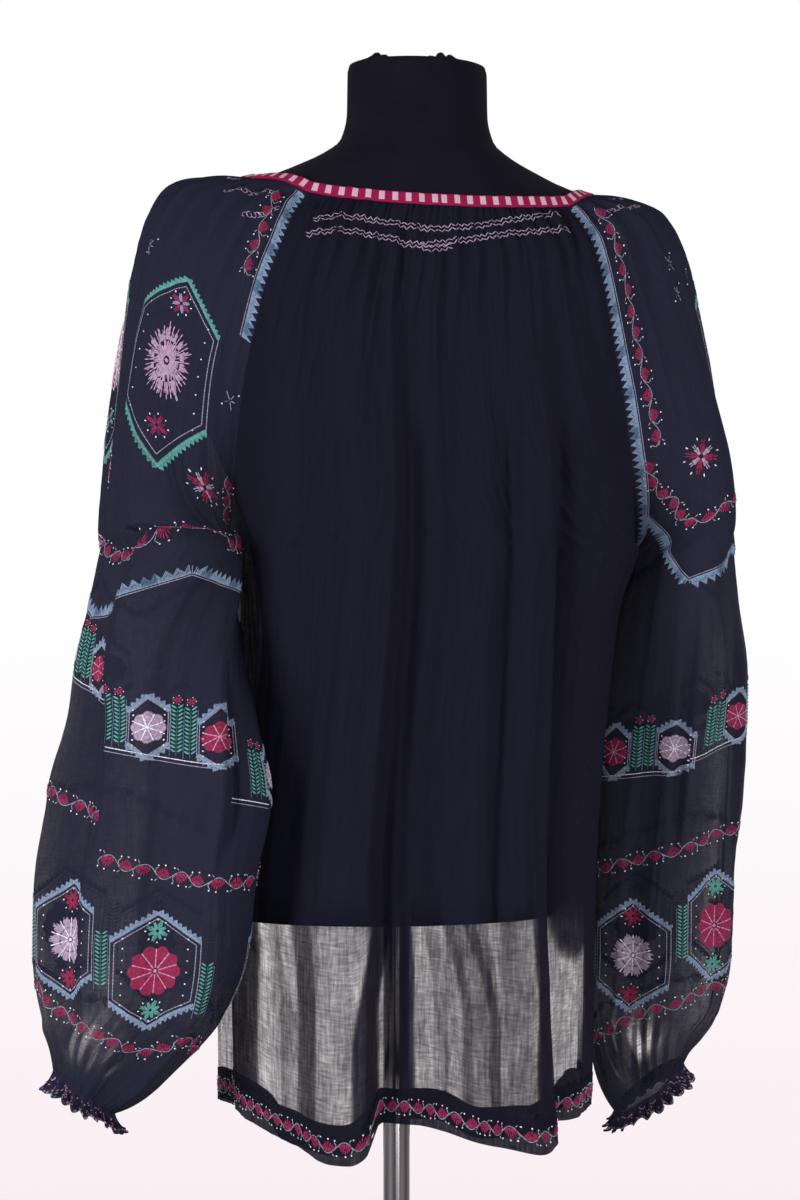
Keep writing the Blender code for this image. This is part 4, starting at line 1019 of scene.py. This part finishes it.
class Needlework:
    """Stitches on one panel. A place is (level, share); offsets are metres to the right and down."""

    def __init__(self, plain, grid, skin, levels, flip, ring=False):
        self.grid, self.skin, self.levels, self.flip, self.ring = grid, skin, levels, flip, ring
        self.row_length = np.linalg.norm(np.diff(plain, axis=1), axis=2).sum(axis=1)
        self.level_length = (np.linalg.norm(np.gradient(plain, axis=0), axis=2)
                             / np.gradient(levels)[:, None])
        self.laid = []

    def cell(self, level, share):
        if self.ring:
            share = np.where(level >= 1, share % 1.0, share)
        columns = self.grid.shape[1] - 1
        row = np.interp(level, self.levels, np.arange(len(self.levels)))
        return np.clip(row, 0, len(self.levels) - 1.001), np.clip(share, 0, 1) * (columns - 0.001)

    def sample(self, field, row, column):
        r, c = row.astype(int), column.astype(int)
        u, v = row - r, column - c
        if field.ndim == 3:
            u, v = u[:, None], v[:, None]
        return ((field[r, c] * (1 - v) + field[r, c + 1] * v) * (1 - u)
                + (field[r + 1, c] * (1 - v) + field[r + 1, c + 1] * v) * u)

    def spans(self, level, share):
        """Metres for one share across and for one level down."""
        row, column = self.cell(level, share)
        return (np.interp(row, np.arange(len(self.levels)), self.row_length),
                self.sample(self.level_length, row, column))

    def lay(self, at, ends, thread, wide=STRAND, over=0.0):
        """Stitches from offset to offset, (n, 4), at one place or each at its own."""
        at, ends = np.atleast_2d(at), np.atleast_2d(ends)
        total = max(len(at), len(ends))
        at, ends, thread = (np.broadcast_to(np.asarray(v, float), (total, n))
                            for v, n in ((at, 2), (ends, 4), (thread, 3)))
        parts = np.hypot(ends[:, 2] - ends[:, 0], ends[:, 3] - ends[:, 1]) / STRAND_LONG
        parts = np.ceil(parts).astype(int)
        for k in range(max(parts.max(), 1)):
            use = parts > k if k else np.full(total, True)
            first, last = ends[use, :2], ends[use, 2:]
            step = (last - first) / np.maximum(parts[use], 1)[:, None]
            shade = dice.uniform(0.78, 1.18, (use.sum(), 1))
            self.laid.append(np.column_stack([at[use], first + step * k, first + step * (k + 1.12),
                                              np.full(use.sum(), wide), np.full(use.sum(), over),
                                              thread[use] * shade]))

    def run(self, points, step, smooth=True):
        """Even places along a line through (level, share) points, and its direction there."""
        points = np.array(points, float)
        key = np.arange(len(points))
        fine = np.linspace(0, key[-1], 400)
        if smooth:
            line = table_at(np.column_stack([key, points]), fine)
        else:
            line = np.column_stack([np.interp(fine, key, points[:, 0]), np.interp(fine, key, points[:, 1])])
        across, down = self.spans(line[:-1, 0], line[:-1, 1])
        hop = np.column_stack([np.diff(line[:, 1]) * across * self.flip, np.diff(line[:, 0]) * down])
        far = np.concatenate([[0], np.cumsum(np.hypot(hop[:, 0], hop[:, 1]))])
        want = np.arange(step / 2, far[-1], step)
        places = np.column_stack([np.interp(want, far, line[:, 0]), np.interp(want, far, line[:, 1])])
        heading_x, heading_y = (np.interp(want, far[:-1], hop[:, k]) for k in (0, 1))
        size = np.maximum(np.hypot(heading_x, heading_y), 1e-9)
        return places, np.column_stack([heading_x / size, heading_y / size]), want

    def lay_along(self, places, ways, ends, thread, wide=STRAND, over=0.0):
        """Stitches whose ends are given along and to the right of a line's own direction."""
        ends = np.broadcast_to(np.asarray(ends, float), (len(places), 4))
        x, y = ways[:, 0], ways[:, 1]
        turned = np.column_stack([ends[:, 0] * x - ends[:, 1] * y, ends[:, 0] * y + ends[:, 1] * x,
                                  ends[:, 2] * x - ends[:, 3] * y, ends[:, 2] * y + ends[:, 3] * x])
        self.lay(places, turned, thread, wide, over)

    def line(self, points, thread, aside=0.0, smooth=True):
        """A plain line of running stitches, beside the given one by an offset."""
        places, ways, _ = self.run(points, LINE_STEP, smooth)
        self.lay_along(places, ways, (-LINE_STEP * 0.56, aside, LINE_STEP * 0.56, aside), thread, 0.0008)

    def vine(self, points, high=0.0044, wave=0.029):
        """A winding stem with a bud in every hollow, curled tendrils and pale knots."""
        places, ways, far = self.run(points, VINE_STEP)
        stem, after = (high * np.sin(math.tau * (far + ahead) / wave) for ahead in (0, VINE_STEP))
        self.lay_along(places, ways, rows_of(0, stem, VINE_STEP * 1.1, after), GREY_LILAC, 0.0009)
        fan = np.radians(np.linspace(-62, 62, 9))
        long = BUD_LONG * (1 - 0.25 * np.abs(np.sin(fan * 1.6)))
        bud = rows_of(0.0008 * np.sin(fan), 0, long * np.sin(fan), long * np.cos(fan))
        heart = [(0, 0, 0, 0.0046), (0.0024, -0.001, 0.0042, 0.0014), (-0.0024, -0.001, -0.0042, 0.0014)]
        tip, top = wave / 4, BUD_LONG + 0.0016
        tendrils = [(tip * 0.55, 0.001, tip * 0.95, 0.0050), (tip * 0.95, 0.0050, tip * 0.70, 0.0078),
                    (tip * 0.45, -0.0012, tip * 0.70, -0.0030)]
        knots = [(-0.0006, top, 0.0007, top), (tip * 0.66, 0.0090, tip * 0.66 + 0.0012, 0.0090),
                 (tip * 0.9, -0.0026, tip * 0.9 + 0.0012, -0.0026)]
        motif = ((bud, CRIMSON, 0.0012, 0), (heart, (PLUM, GREEN, GREEN), 0.0009, LIFT),
                 (tendrils, (GREY_LILAC, GREY_LILAC, LILAC), 0.0008, 0), (knots, WHITE, 0.0013, LIFT))
        hollows = np.arange(wave / 4, far[-1] - wave / 8, wave / 2)
        for k, i in enumerate(np.searchsorted(far, hollows).clip(0, len(far) - 1)):
            s = -1.0 if k % 2 == 0 else 1.0
            base = -s * high * 0.75
            for ends, thread, wide, over in motif:
                ends = np.array(ends) * (1, s, 1, s) + (0, base, 0, base)
                spot, way = (np.repeat(v[i:i + 1], len(ends), axis=0) for v in (places, ways))
                self.lay_along(spot, way, ends, thread, wide, over)

    def sawtooth(self, points, side=1):
        """A filled border: a solid band along the line, with teeth on one side."""
        places, ways, far = self.run(points, 0.00075, smooth=False)
        teeth = side * (0.0038 + 0.0056 * saw(far / 0.0062))
        colours = np.where(((far / 0.034) % 1 > 0.72)[:, None], STEEL, PALE_BLUE)
        self.lay_along(places, ways, rows_of(0, 0, 0.0003, teeth), colours, 0.0009)
        self.line(points, GREY_LILAC, -side * 0.0010, False)
        self.line(points, PALE_BLUE, side * 0.0008, False)

    def rosette(self, at, radius, petals, thread, ray, spiky=0.0, tall=1.0):
        """Satin stitches from the middle outward, parted into petals by thin rays."""
        for inner, outer, count in ((0.10, 0.55, 0.45), (0.50, 1.0, 1.0)):
            n = int(math.tau * radius * count / SATIN_STEP)
            a = np.linspace(0, math.tau, n, endpoint=False)
            reach = 1 - (0.20 + spiky) * (1 - np.abs(np.cos(petals * a / 2)) ** 0.7) * (outer == 1.0)
            reach = reach * (1 - spiky * 0.9 * dice.random(n))
            self.lay(at, rays(a, radius * inner, radius * outer * reach, tall), thread)
        a = np.linspace(0, math.tau, petals, endpoint=False) + math.pi / petals
        self.lay(at, rays(a, radius * 0.12, radius * 0.88, tall), ray, STRAND, LIFT)
        a = np.linspace(0, math.tau, 6, endpoint=False)
        self.lay(at, rays(a, 0, 0.0016), ray, 0.0011, LIFT)

    def star(self, at, radius, thread, other, points=8):
        """Short pointed rays in two threads by turns, with pale tips between them."""
        for k in range(points):
            hue, share = (thread, 1.0) if k % 2 == 0 else (other, 0.82)
            a = math.tau * (k + 0.5) / points + np.radians((-13, -5, 5, 13))
            long = radius * share * np.array((0.72, 1.0, 1.0, 0.72))
            self.lay(at, rays(a, radius * 0.12, long), hue, 0.0011)
        a = math.tau * np.arange(points) / points
        self.lay(at, rays(a, radius * 0.95, radius * 1.12), WHITE, 0.0011)

    def lozenge(self, at, wide, high, trim):
        """A plain six-sided frame in two lines, with a toothed trim along its sloping sides."""
        w, h = wide / 2, high / 2
        corners = np.array([(0, -h), (w, -h * 0.52), (w, h * 0.52), (0, h), (-w, h * 0.52),
                            (-w, -h * 0.52), (0, -h)])
        for grow in (1.0, 0.90):
            for first, last in zip(corners * grow, corners[1:] * grow):
                n = max(int(np.hypot(*(last - first)) / 0.0026), 1)
                path = first + (last - first) * np.linspace(0, 1, n + 1)[:, None]
                self.lay(at, np.column_stack([path[:-1], path[1:]]), GREY_LILAC, 0.0009)
        for k in (5, 0, 2, 3):
            way = corners[k + 1] - corners[k]
            n = int(np.hypot(*way) / SATIN_STEP)
            t = (np.arange(n) + 0.5)[:, None] / n
            root = corners[k] + way * t
            out = np.array([way[1], -way[0]]) / np.hypot(*way)
            teeth = 0.0010 + 0.0028 * saw(t * n * SATIN_STEP / 0.0044)
            self.lay(at, np.column_stack([root - out * 0.0020, root + out * teeth]), trim)
        x = np.repeat((-1, 1), 7) * w * 0.72
        y = np.tile((-1, -0.7, -0.35, 0, 0.35, 0.7, 1), 2) * h * 0.56
        self.lay(at, rows_of(x - 0.0006, y, x + 0.0006, y), WHITE, 0.0013)

    def leaves(self, at, high):
        """A straight column of paired leaves."""
        y = np.arange(-high / 2, high / 2, LEAF_STEP)
        for s in (-1, 1):
            edge = s * (LEAF_WIDE + 0.0010)
            self.lay(at, rows_of(s * 0.0005, y, s * LEAF_WIDE, y - 0.0022), TEAL, 0.0016)
            self.lay(at, rows_of(edge, y, edge, y + LEAF_STEP), STEEL, 0.0006)
        self.lay(at, rows_of(0, y, 0, y + LEAF_STEP), GREEN, 0.0007, LIFT)

    def sprig(self, at):
        """Five rays of uneven length with two pale knots beside them."""
        size = 0.007
        a = np.radians((-120, -60, 0, 75, 150))
        long = size * np.array((1, 0.8, 0.6, 1, 0.7))
        self.lay(at, rays(a, size * 0.1, long), (LILAC, GREY_LILAC, LILAC, GREY_LILAC, STEEL), 0.0008)
        low = size * 0.7
        knots = [(size - 0.0006, -size, size + 0.0006, -size), (-size, low, -size + 0.0013, low)]
        self.lay(at, knots, WHITE, 0.0014)

    def wavy(self, points):
        """A row of smocking: two zigzags of short stitches that hold the gathers."""
        places, ways, far = self.run(points, SMOCK_STEP)
        for aside in (-0.0016, 0.0018):
            up = np.where(np.arange(len(far)) % 2 == 0, 1.0, -1.0) * SMOCK_HIGH
            up = up * dice.uniform(0.5, 1.3, len(far))
            self.lay_along(places, ways, rows_of(0, aside - up, SMOCK_STEP, aside + up), LILAC, 0.0009, LIFT)

    def curls(self, points):
        """Loose loops of thread over the gathered cap of a sleeve."""
        for k, place in enumerate(self.run(points, 0.0036)[0]):
            a = np.linspace(0.3, 5.2, 6) + 1.7 * k
            loop = 0.0022 * np.column_stack([np.cos(a), np.sin(a)])
            self.lay(place, np.column_stack([loop[:-1], loop[1:]]), LILAC, 0.0007)

    def sewn(self, name):
        """All the stitches as one piece."""
        laid = np.concatenate(self.laid)
        level, share = laid[:, 0], laid[:, 1]
        across, down = self.spans(level, share)
        tips = [self.cell(level + y / down, share + self.flip * x / across)
                for x, y in ((laid[:, 2], laid[:, 3]), (laid[:, 4], laid[:, 5]))]
        first, last = (self.sample(self.grid, *tip) for tip in tips)
        out = unit(self.sample(self.skin, *tips[0]) + self.sample(self.skin, *tips[1]))
        near = np.linalg.norm(last - first, axis=1) < 3 * STRAND_LONG
        laid, first, last, out = laid[near], first[near], last[near], out[near]
        wide = laid[:, 6:7]
        aside = unit(np.cross(out, last - first)) * wide / 2
        root = (first + last) / 2 + out * (LIFT + laid[:, 7:8])
        points = root[:, None]
        for k, way in enumerate(((last - first) / 2, aside, out * wide * 0.45)):
            points = points + STRAND_POINTS[None, :, k, None] * way[:, None]
        count = len(STRAND_POINTS)
        faces = STRAND_FACES[None] + np.arange(len(laid))[:, None, None] * count
        faces = faces.reshape(-1, STRAND_FACES.shape[1])
        mesh = bpy.data.meshes.new(name)
        mesh.from_pydata(points.reshape(-1, 3).tolist(), [], faces.tolist())
        thread = mesh.attributes.new("thread", "FLOAT_COLOR", "POINT")
        colour = np.column_stack([np.repeat(laid[:, 8:11], count, axis=0), np.ones(len(laid) * count)])
        thread.data.foreach_set("color", colour.ravel())
        mesh.polygons.foreach_set("use_smooth", [True] * len(mesh.polygons))
        mesh.materials.append(floss.material)
        made = bpy.data.objects.new(name, mesh)
        bpy.context.scene.collection.objects.link(made)
        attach(made, "root")


def needle(key, flip):
    """Needlework on a panel whose shares run to the right (1) or to the left (-1) on its outside."""
    panel = panels[key]
    return Needlework(panel["plain"], panel["grid"], panel["skin"], panel["levels"], flip,
                      key in ("left", "right"))


SEAM_VINE = {"high": 0.0032, "wave": 0.034}
BAND_STEP = 0.0105      # from one motif of the flower band to the next
BAND_HIGH = 0.0205      # their middle above its lower line


def cap_frames(work, level, above, below, rows):
    """Tall frames round the cap of a sleeve, each with a spiky rosette between two small stars."""
    for share, pale, bright in rows:
        work.lozenge((level, share), 0.078, 0.150, TEAL)
        work.rosette((level, share), 0.022, 14, pale, PINK if pale is LILAC else WHITE, spiky=0.50, tall=1.5)
        work.star((above, share), 0.009, bright, PALE_BLUE)
        work.star((below, share), 0.009, bright, PLUM)


def band(work, pieces):
    """The flower band: two lines below, then frames with rosettes and leafy columns by turns."""
    k = 0
    for share_from, level_from, share_to, level_to in pieces:
        ends = [(level_from, share_from), (level_to, share_to)]
        work.line(ends, WHITE)
        work.line(ends, GREY_LILAC, 0.0030 * work.flip)
        for place in work.run(ends, BAND_STEP)[0]:
            lifted = place - (BAND_HIGH / work.spans(place[:1], place[1:])[1][0], 0)
            if k % 5 in (0, 1):
                work.leaves(lifted, 0.036)
                work.star(lifted - (0.055, 0), 0.0032, CRIMSON, CRIMSON, 5)
            elif k % 5 == 3:
                hue, ray = (CRIMSON, PINK) if (k // 5) % 2 == 0 else (LILAC, WHITE)
                work.lozenge(lifted, 0.030, 0.048, PALE_BLUE)
                work.rosette(lifted, 0.0122, 8, hue, ray)
            k += 1


def large_frames(work, wide, radius, rows):
    """The large low frames, each with a rosette and with a star above and below it."""
    for share, level, hue in rows:
        ray, tip, spiky = (WHITE, CRIMSON, 0.22) if hue is LILAC else (PINK, TEAL, 0.0)
        work.lozenge((level, share), wide, 0.092, PALE_BLUE)
        work.rosette((level, share), radius, 10, hue, ray, spiky)
        for s in (-1, 1):
            work.star((level + s * 0.072, share), 0.0085, tip, tip)


# The left sleeve. A toothed border and a vine follow its back raglan seam. Below are a framed
# rosette, a star, a vine, a toothed zigzag, a band of small rosettes, and large framed rosettes.
work = needle("left", -1)
work.sawtooth([(0.010, 0.046), (0.12, 0.036), (0.25, 0.031), (0.53, 0.029)], -1)
work.vine([(0.045, 0.105), (0.16, 0.080), (0.25, 0.066), (0.37, 0.060)], **SEAM_VINE)
work.sawtooth([(0.010, 0.955), (0.12, 0.964), (0.40, 0.970), (0.98, 0.970)])
work.vine([(0.05, 0.895), (0.40, 0.928), (0.80, 0.934)], **SEAM_VINE)
for points in ([(0.07, 0.11), (0.12, 0.17), (0.155, 0.25)], [(0.13, 0.05), (0.20, 0.10), (0.235, 0.13)],
               [(0.10, 0.80), (0.16, 0.88)], [(0.05, 0.30), (0.08, 0.42)]):
    work.curls(points)
for at in ((0.69, 0.028), (0.43, 0.37), (0.44, 0.66), (0.72, 0.93)):
    work.sprig(at)
cap_frames(work, 0.675, 0.540, 0.805, ((0.205, LILAC, CRIMSON), (0.60, PINK, TEAL), (0.82, LILAC, CRIMSON)))
for share in (0.096, 0.50, 0.90):
    work.star((0.885, share), 0.0145, CRIMSON, LILAC)
work.vine([(0.845, 0.012), (0.905, 0.022), (0.985, 0.070), (1.005, 0.138), (0.976, 0.204), (1.008, 0.296),
           (1.023, 0.396), (0.985, 0.52), (1.02, 0.66), (0.98, 0.80), (0.93, 0.93), (0.85, 0.985)])
work.sawtooth([(1.140, 0.00), (1.102, 0.062), (1.055, 0.217), (1.125, 0.340), (1.135, 0.42), (1.06, 0.55),
               (1.135, 0.68), (1.06, 0.83), (1.140, 0.999)])
band(work, (
    # share_from, level_from, share_to, level_to of the lower line, between the sleeve's folds
    (0.004, 1.466, 0.084, 1.452), (0.094, 1.400, 0.305, 1.362), (0.318, 1.285, 0.470, 1.232),
    (0.480, 1.232, 0.640, 1.270), (0.650, 1.300, 0.820, 1.390), (0.830, 1.420, 0.994, 1.466),
))
work.vine([(1.602, 0.00), (1.602, 0.071), (1.586, 0.179), (1.562, 0.290)])
work.vine([(1.492, 0.305), (1.469, 0.396), (1.445, 0.475), (1.45, 0.60), (1.52, 0.80), (1.60, 0.995)])
large_frames(work, 0.068, 0.0200, (
    (0.183, 1.760, CRIMSON), (0.370, 1.712, LILAC), (0.555, 1.700, CRIMSON), (0.740, 1.735, LILAC),
    (0.920, 1.765, CRIMSON),
))
for share, level in ((0.092, 1.790), (0.277, 1.740), (0.462, 1.705), (0.648, 1.715), (0.83, 1.75)):
    work.leaves((level, share), 0.040)
work.vine([(1.90, 0.02), (1.875, 0.096), (1.906, 0.165), (1.878, 0.288), (1.844, 0.400), (1.800, 0.455),
           (1.83, 0.58), (1.87, 0.74), (1.90, 0.98)])
work.sewn("embroidery_sleeve_left")

# The right sleeve, worked alike but hanging another way.
work = needle("right", 1)
work.sawtooth([(0.010, 0.046), (0.12, 0.036), (0.25, 0.031), (0.55, 0.029), (0.98, 0.030)])
work.vine([(0.06, 0.115), (0.214, 0.085), (0.405, 0.072), (0.62, 0.066), (0.77, 0.070)], **SEAM_VINE)
work.sawtooth([(0.010, 0.955), (0.12, 0.964), (0.40, 0.970), (0.98, 0.970)], -1)
work.vine([(0.05, 0.895), (0.40, 0.928), (0.80, 0.934)], **SEAM_VINE)
for points in ([(0.10, 0.14), (0.14, 0.25), (0.15, 0.34)], [(0.06, 0.30), (0.09, 0.40)],
               [(0.16, 0.40), (0.19, 0.47)], [(0.10, 0.80), (0.16, 0.88)]):
    work.curls(points)
for at in ((0.381, 0.250), (0.445, 0.330), (0.470, 0.235), (0.44, 0.66)):
    work.sprig(at)
for share in (0.171, 0.56, 0.88):
    work.star((0.822, share), 0.0145, CRIMSON, LILAC)
cap_frames(work, 0.640, 0.500, 0.780, ((0.46, LILAC, CRIMSON), (0.76, PINK, TEAL)))
work.vine([(0.79, 0.035), (0.845, 0.045), (0.881, 0.088), (0.935, 0.146), (0.925, 0.205), (0.905, 0.250),
           (0.900, 0.36), (0.96, 0.50), (0.91, 0.64), (0.97, 0.78), (0.92, 0.90), (0.85, 0.98)])
work.sawtooth([(0.905, 0.033), (0.988, 0.150), (1.047, 0.221), (0.985, 0.345), (0.99, 0.42), (1.08, 0.55),
               (0.99, 0.70), (1.08, 0.83), (0.99, 0.97)])
band(work, (
    (0.004, 1.420, 0.240, 1.398), (0.250, 1.372, 0.430, 1.322), (0.440, 1.320, 0.640, 1.330),
    (0.650, 1.350, 0.820, 1.400), (0.830, 1.410, 0.996, 1.420),
))
work.vine([(1.600, 0.00), (1.586, 0.071), (1.555, 0.208), (1.508, 0.408), (1.50, 0.60), (1.55, 0.80),
           (1.598, 0.99)])
large_frames(work, 0.064, 0.0195, (
    (0.150, 1.742, LILAC), (0.352, 1.690, CRIMSON), (0.550, 1.685, LILAC), (0.745, 1.715, CRIMSON),
    (0.930, 1.740, CRIMSON),
))
for share, level in ((0.040, 1.745), (0.257, 1.700), (0.452, 1.690), (0.648, 1.700), (0.838, 1.73)):
    work.leaves((level, share), 0.044)
work.vine([(1.892, 0.00), (1.883, 0.071), (1.836, 0.221), (1.800, 0.421), (1.81, 0.62), (1.86, 0.82),
           (1.892, 0.99)])
work.sewn("embroidery_sleeve_right")

# The back and front have two zigzag rows of smocking below the tape, the back a short third one.
work = needle("back", 1)
work.wavy([(0.119, 0.067), (0.083, 0.167), (0.085, 0.317), (0.095, 0.453), (0.074, 0.623), (0.050, 0.770),
           (0.030, 0.930)])
work.wavy([(0.190, 0.060), (0.143, 0.177), (0.146, 0.307), (0.165, 0.390), (0.158, 0.453), (0.131, 0.583),
           (0.107, 0.753), (0.107, 0.927)])
work.wavy([(0.16, 0.40), (0.175, 0.46), (0.16, 0.52)])
work.sewn("smocking_back")
work = needle("front", -1)
for level in (0.085, 0.150):
    sag = ((0, 0.05), (0.03, 0.30), (0.04, 0.50), (0.03, 0.70), (0, 0.95))
    work.wavy([(level + deep, share) for deep, share in sag])
work.sewn("smocking_front")

# The hem bands carry one long vine, and the cuff ruffles are overlocked in lilac and pink.
for key, flip in (("back", 1), ("front", -1)):
    hem = panels[key]["hem"]
    work = Needlework(hem, hem, panels[key]["hem_skin"], np.linspace(0, 1, len(hem)), flip)
    work.vine([(0.50, share) for share in (0.004, 0.25, 0.5, 0.75, 0.996)], high=0.0046, wave=0.026)
    work.sewn("embroidery_hem_" + key)
EDGE_HUES = np.array((INK, INK, INK, INK, PLUM, STEEL, LILAC, PINK))
SPECK_HUES = np.array((INK, PLUM, GREY_LILAC, PINK))
SPECKS = 150            # stray stitches at each of three levels of a ruffle
for key in ("left", "right"):
    ruffle = panels[key]["ruffle"]
    work = Needlework(ruffle, ruffle, panels[key]["ruffle_skin"], np.linspace(0, 1, len(ruffle)), 1)
    share = np.arange(0.001, 0.999, 0.0022)
    hues = EDGE_HUES[dice.integers(0, len(EDGE_HUES), len(share))]
    work.lay(rows_of(0.965, share), (0, -0.0020, 0.0004, 0.0006), hues, 0.0012)
    for level in (0.40, 0.66, 0.86):
        share = dice.uniform(0.0, 1.0, SPECKS)
        hues = SPECK_HUES[dice.integers(0, len(SPECK_HUES), SPECKS)]
        at = rows_of(level + dice.uniform(-0.1, 0.1, SPECKS), share)
        work.lay(at, (-0.0007, -0.0006, 0.0007, 0.0006), hues, 0.0009)
    work.sewn("overlock_cuff_" + key)
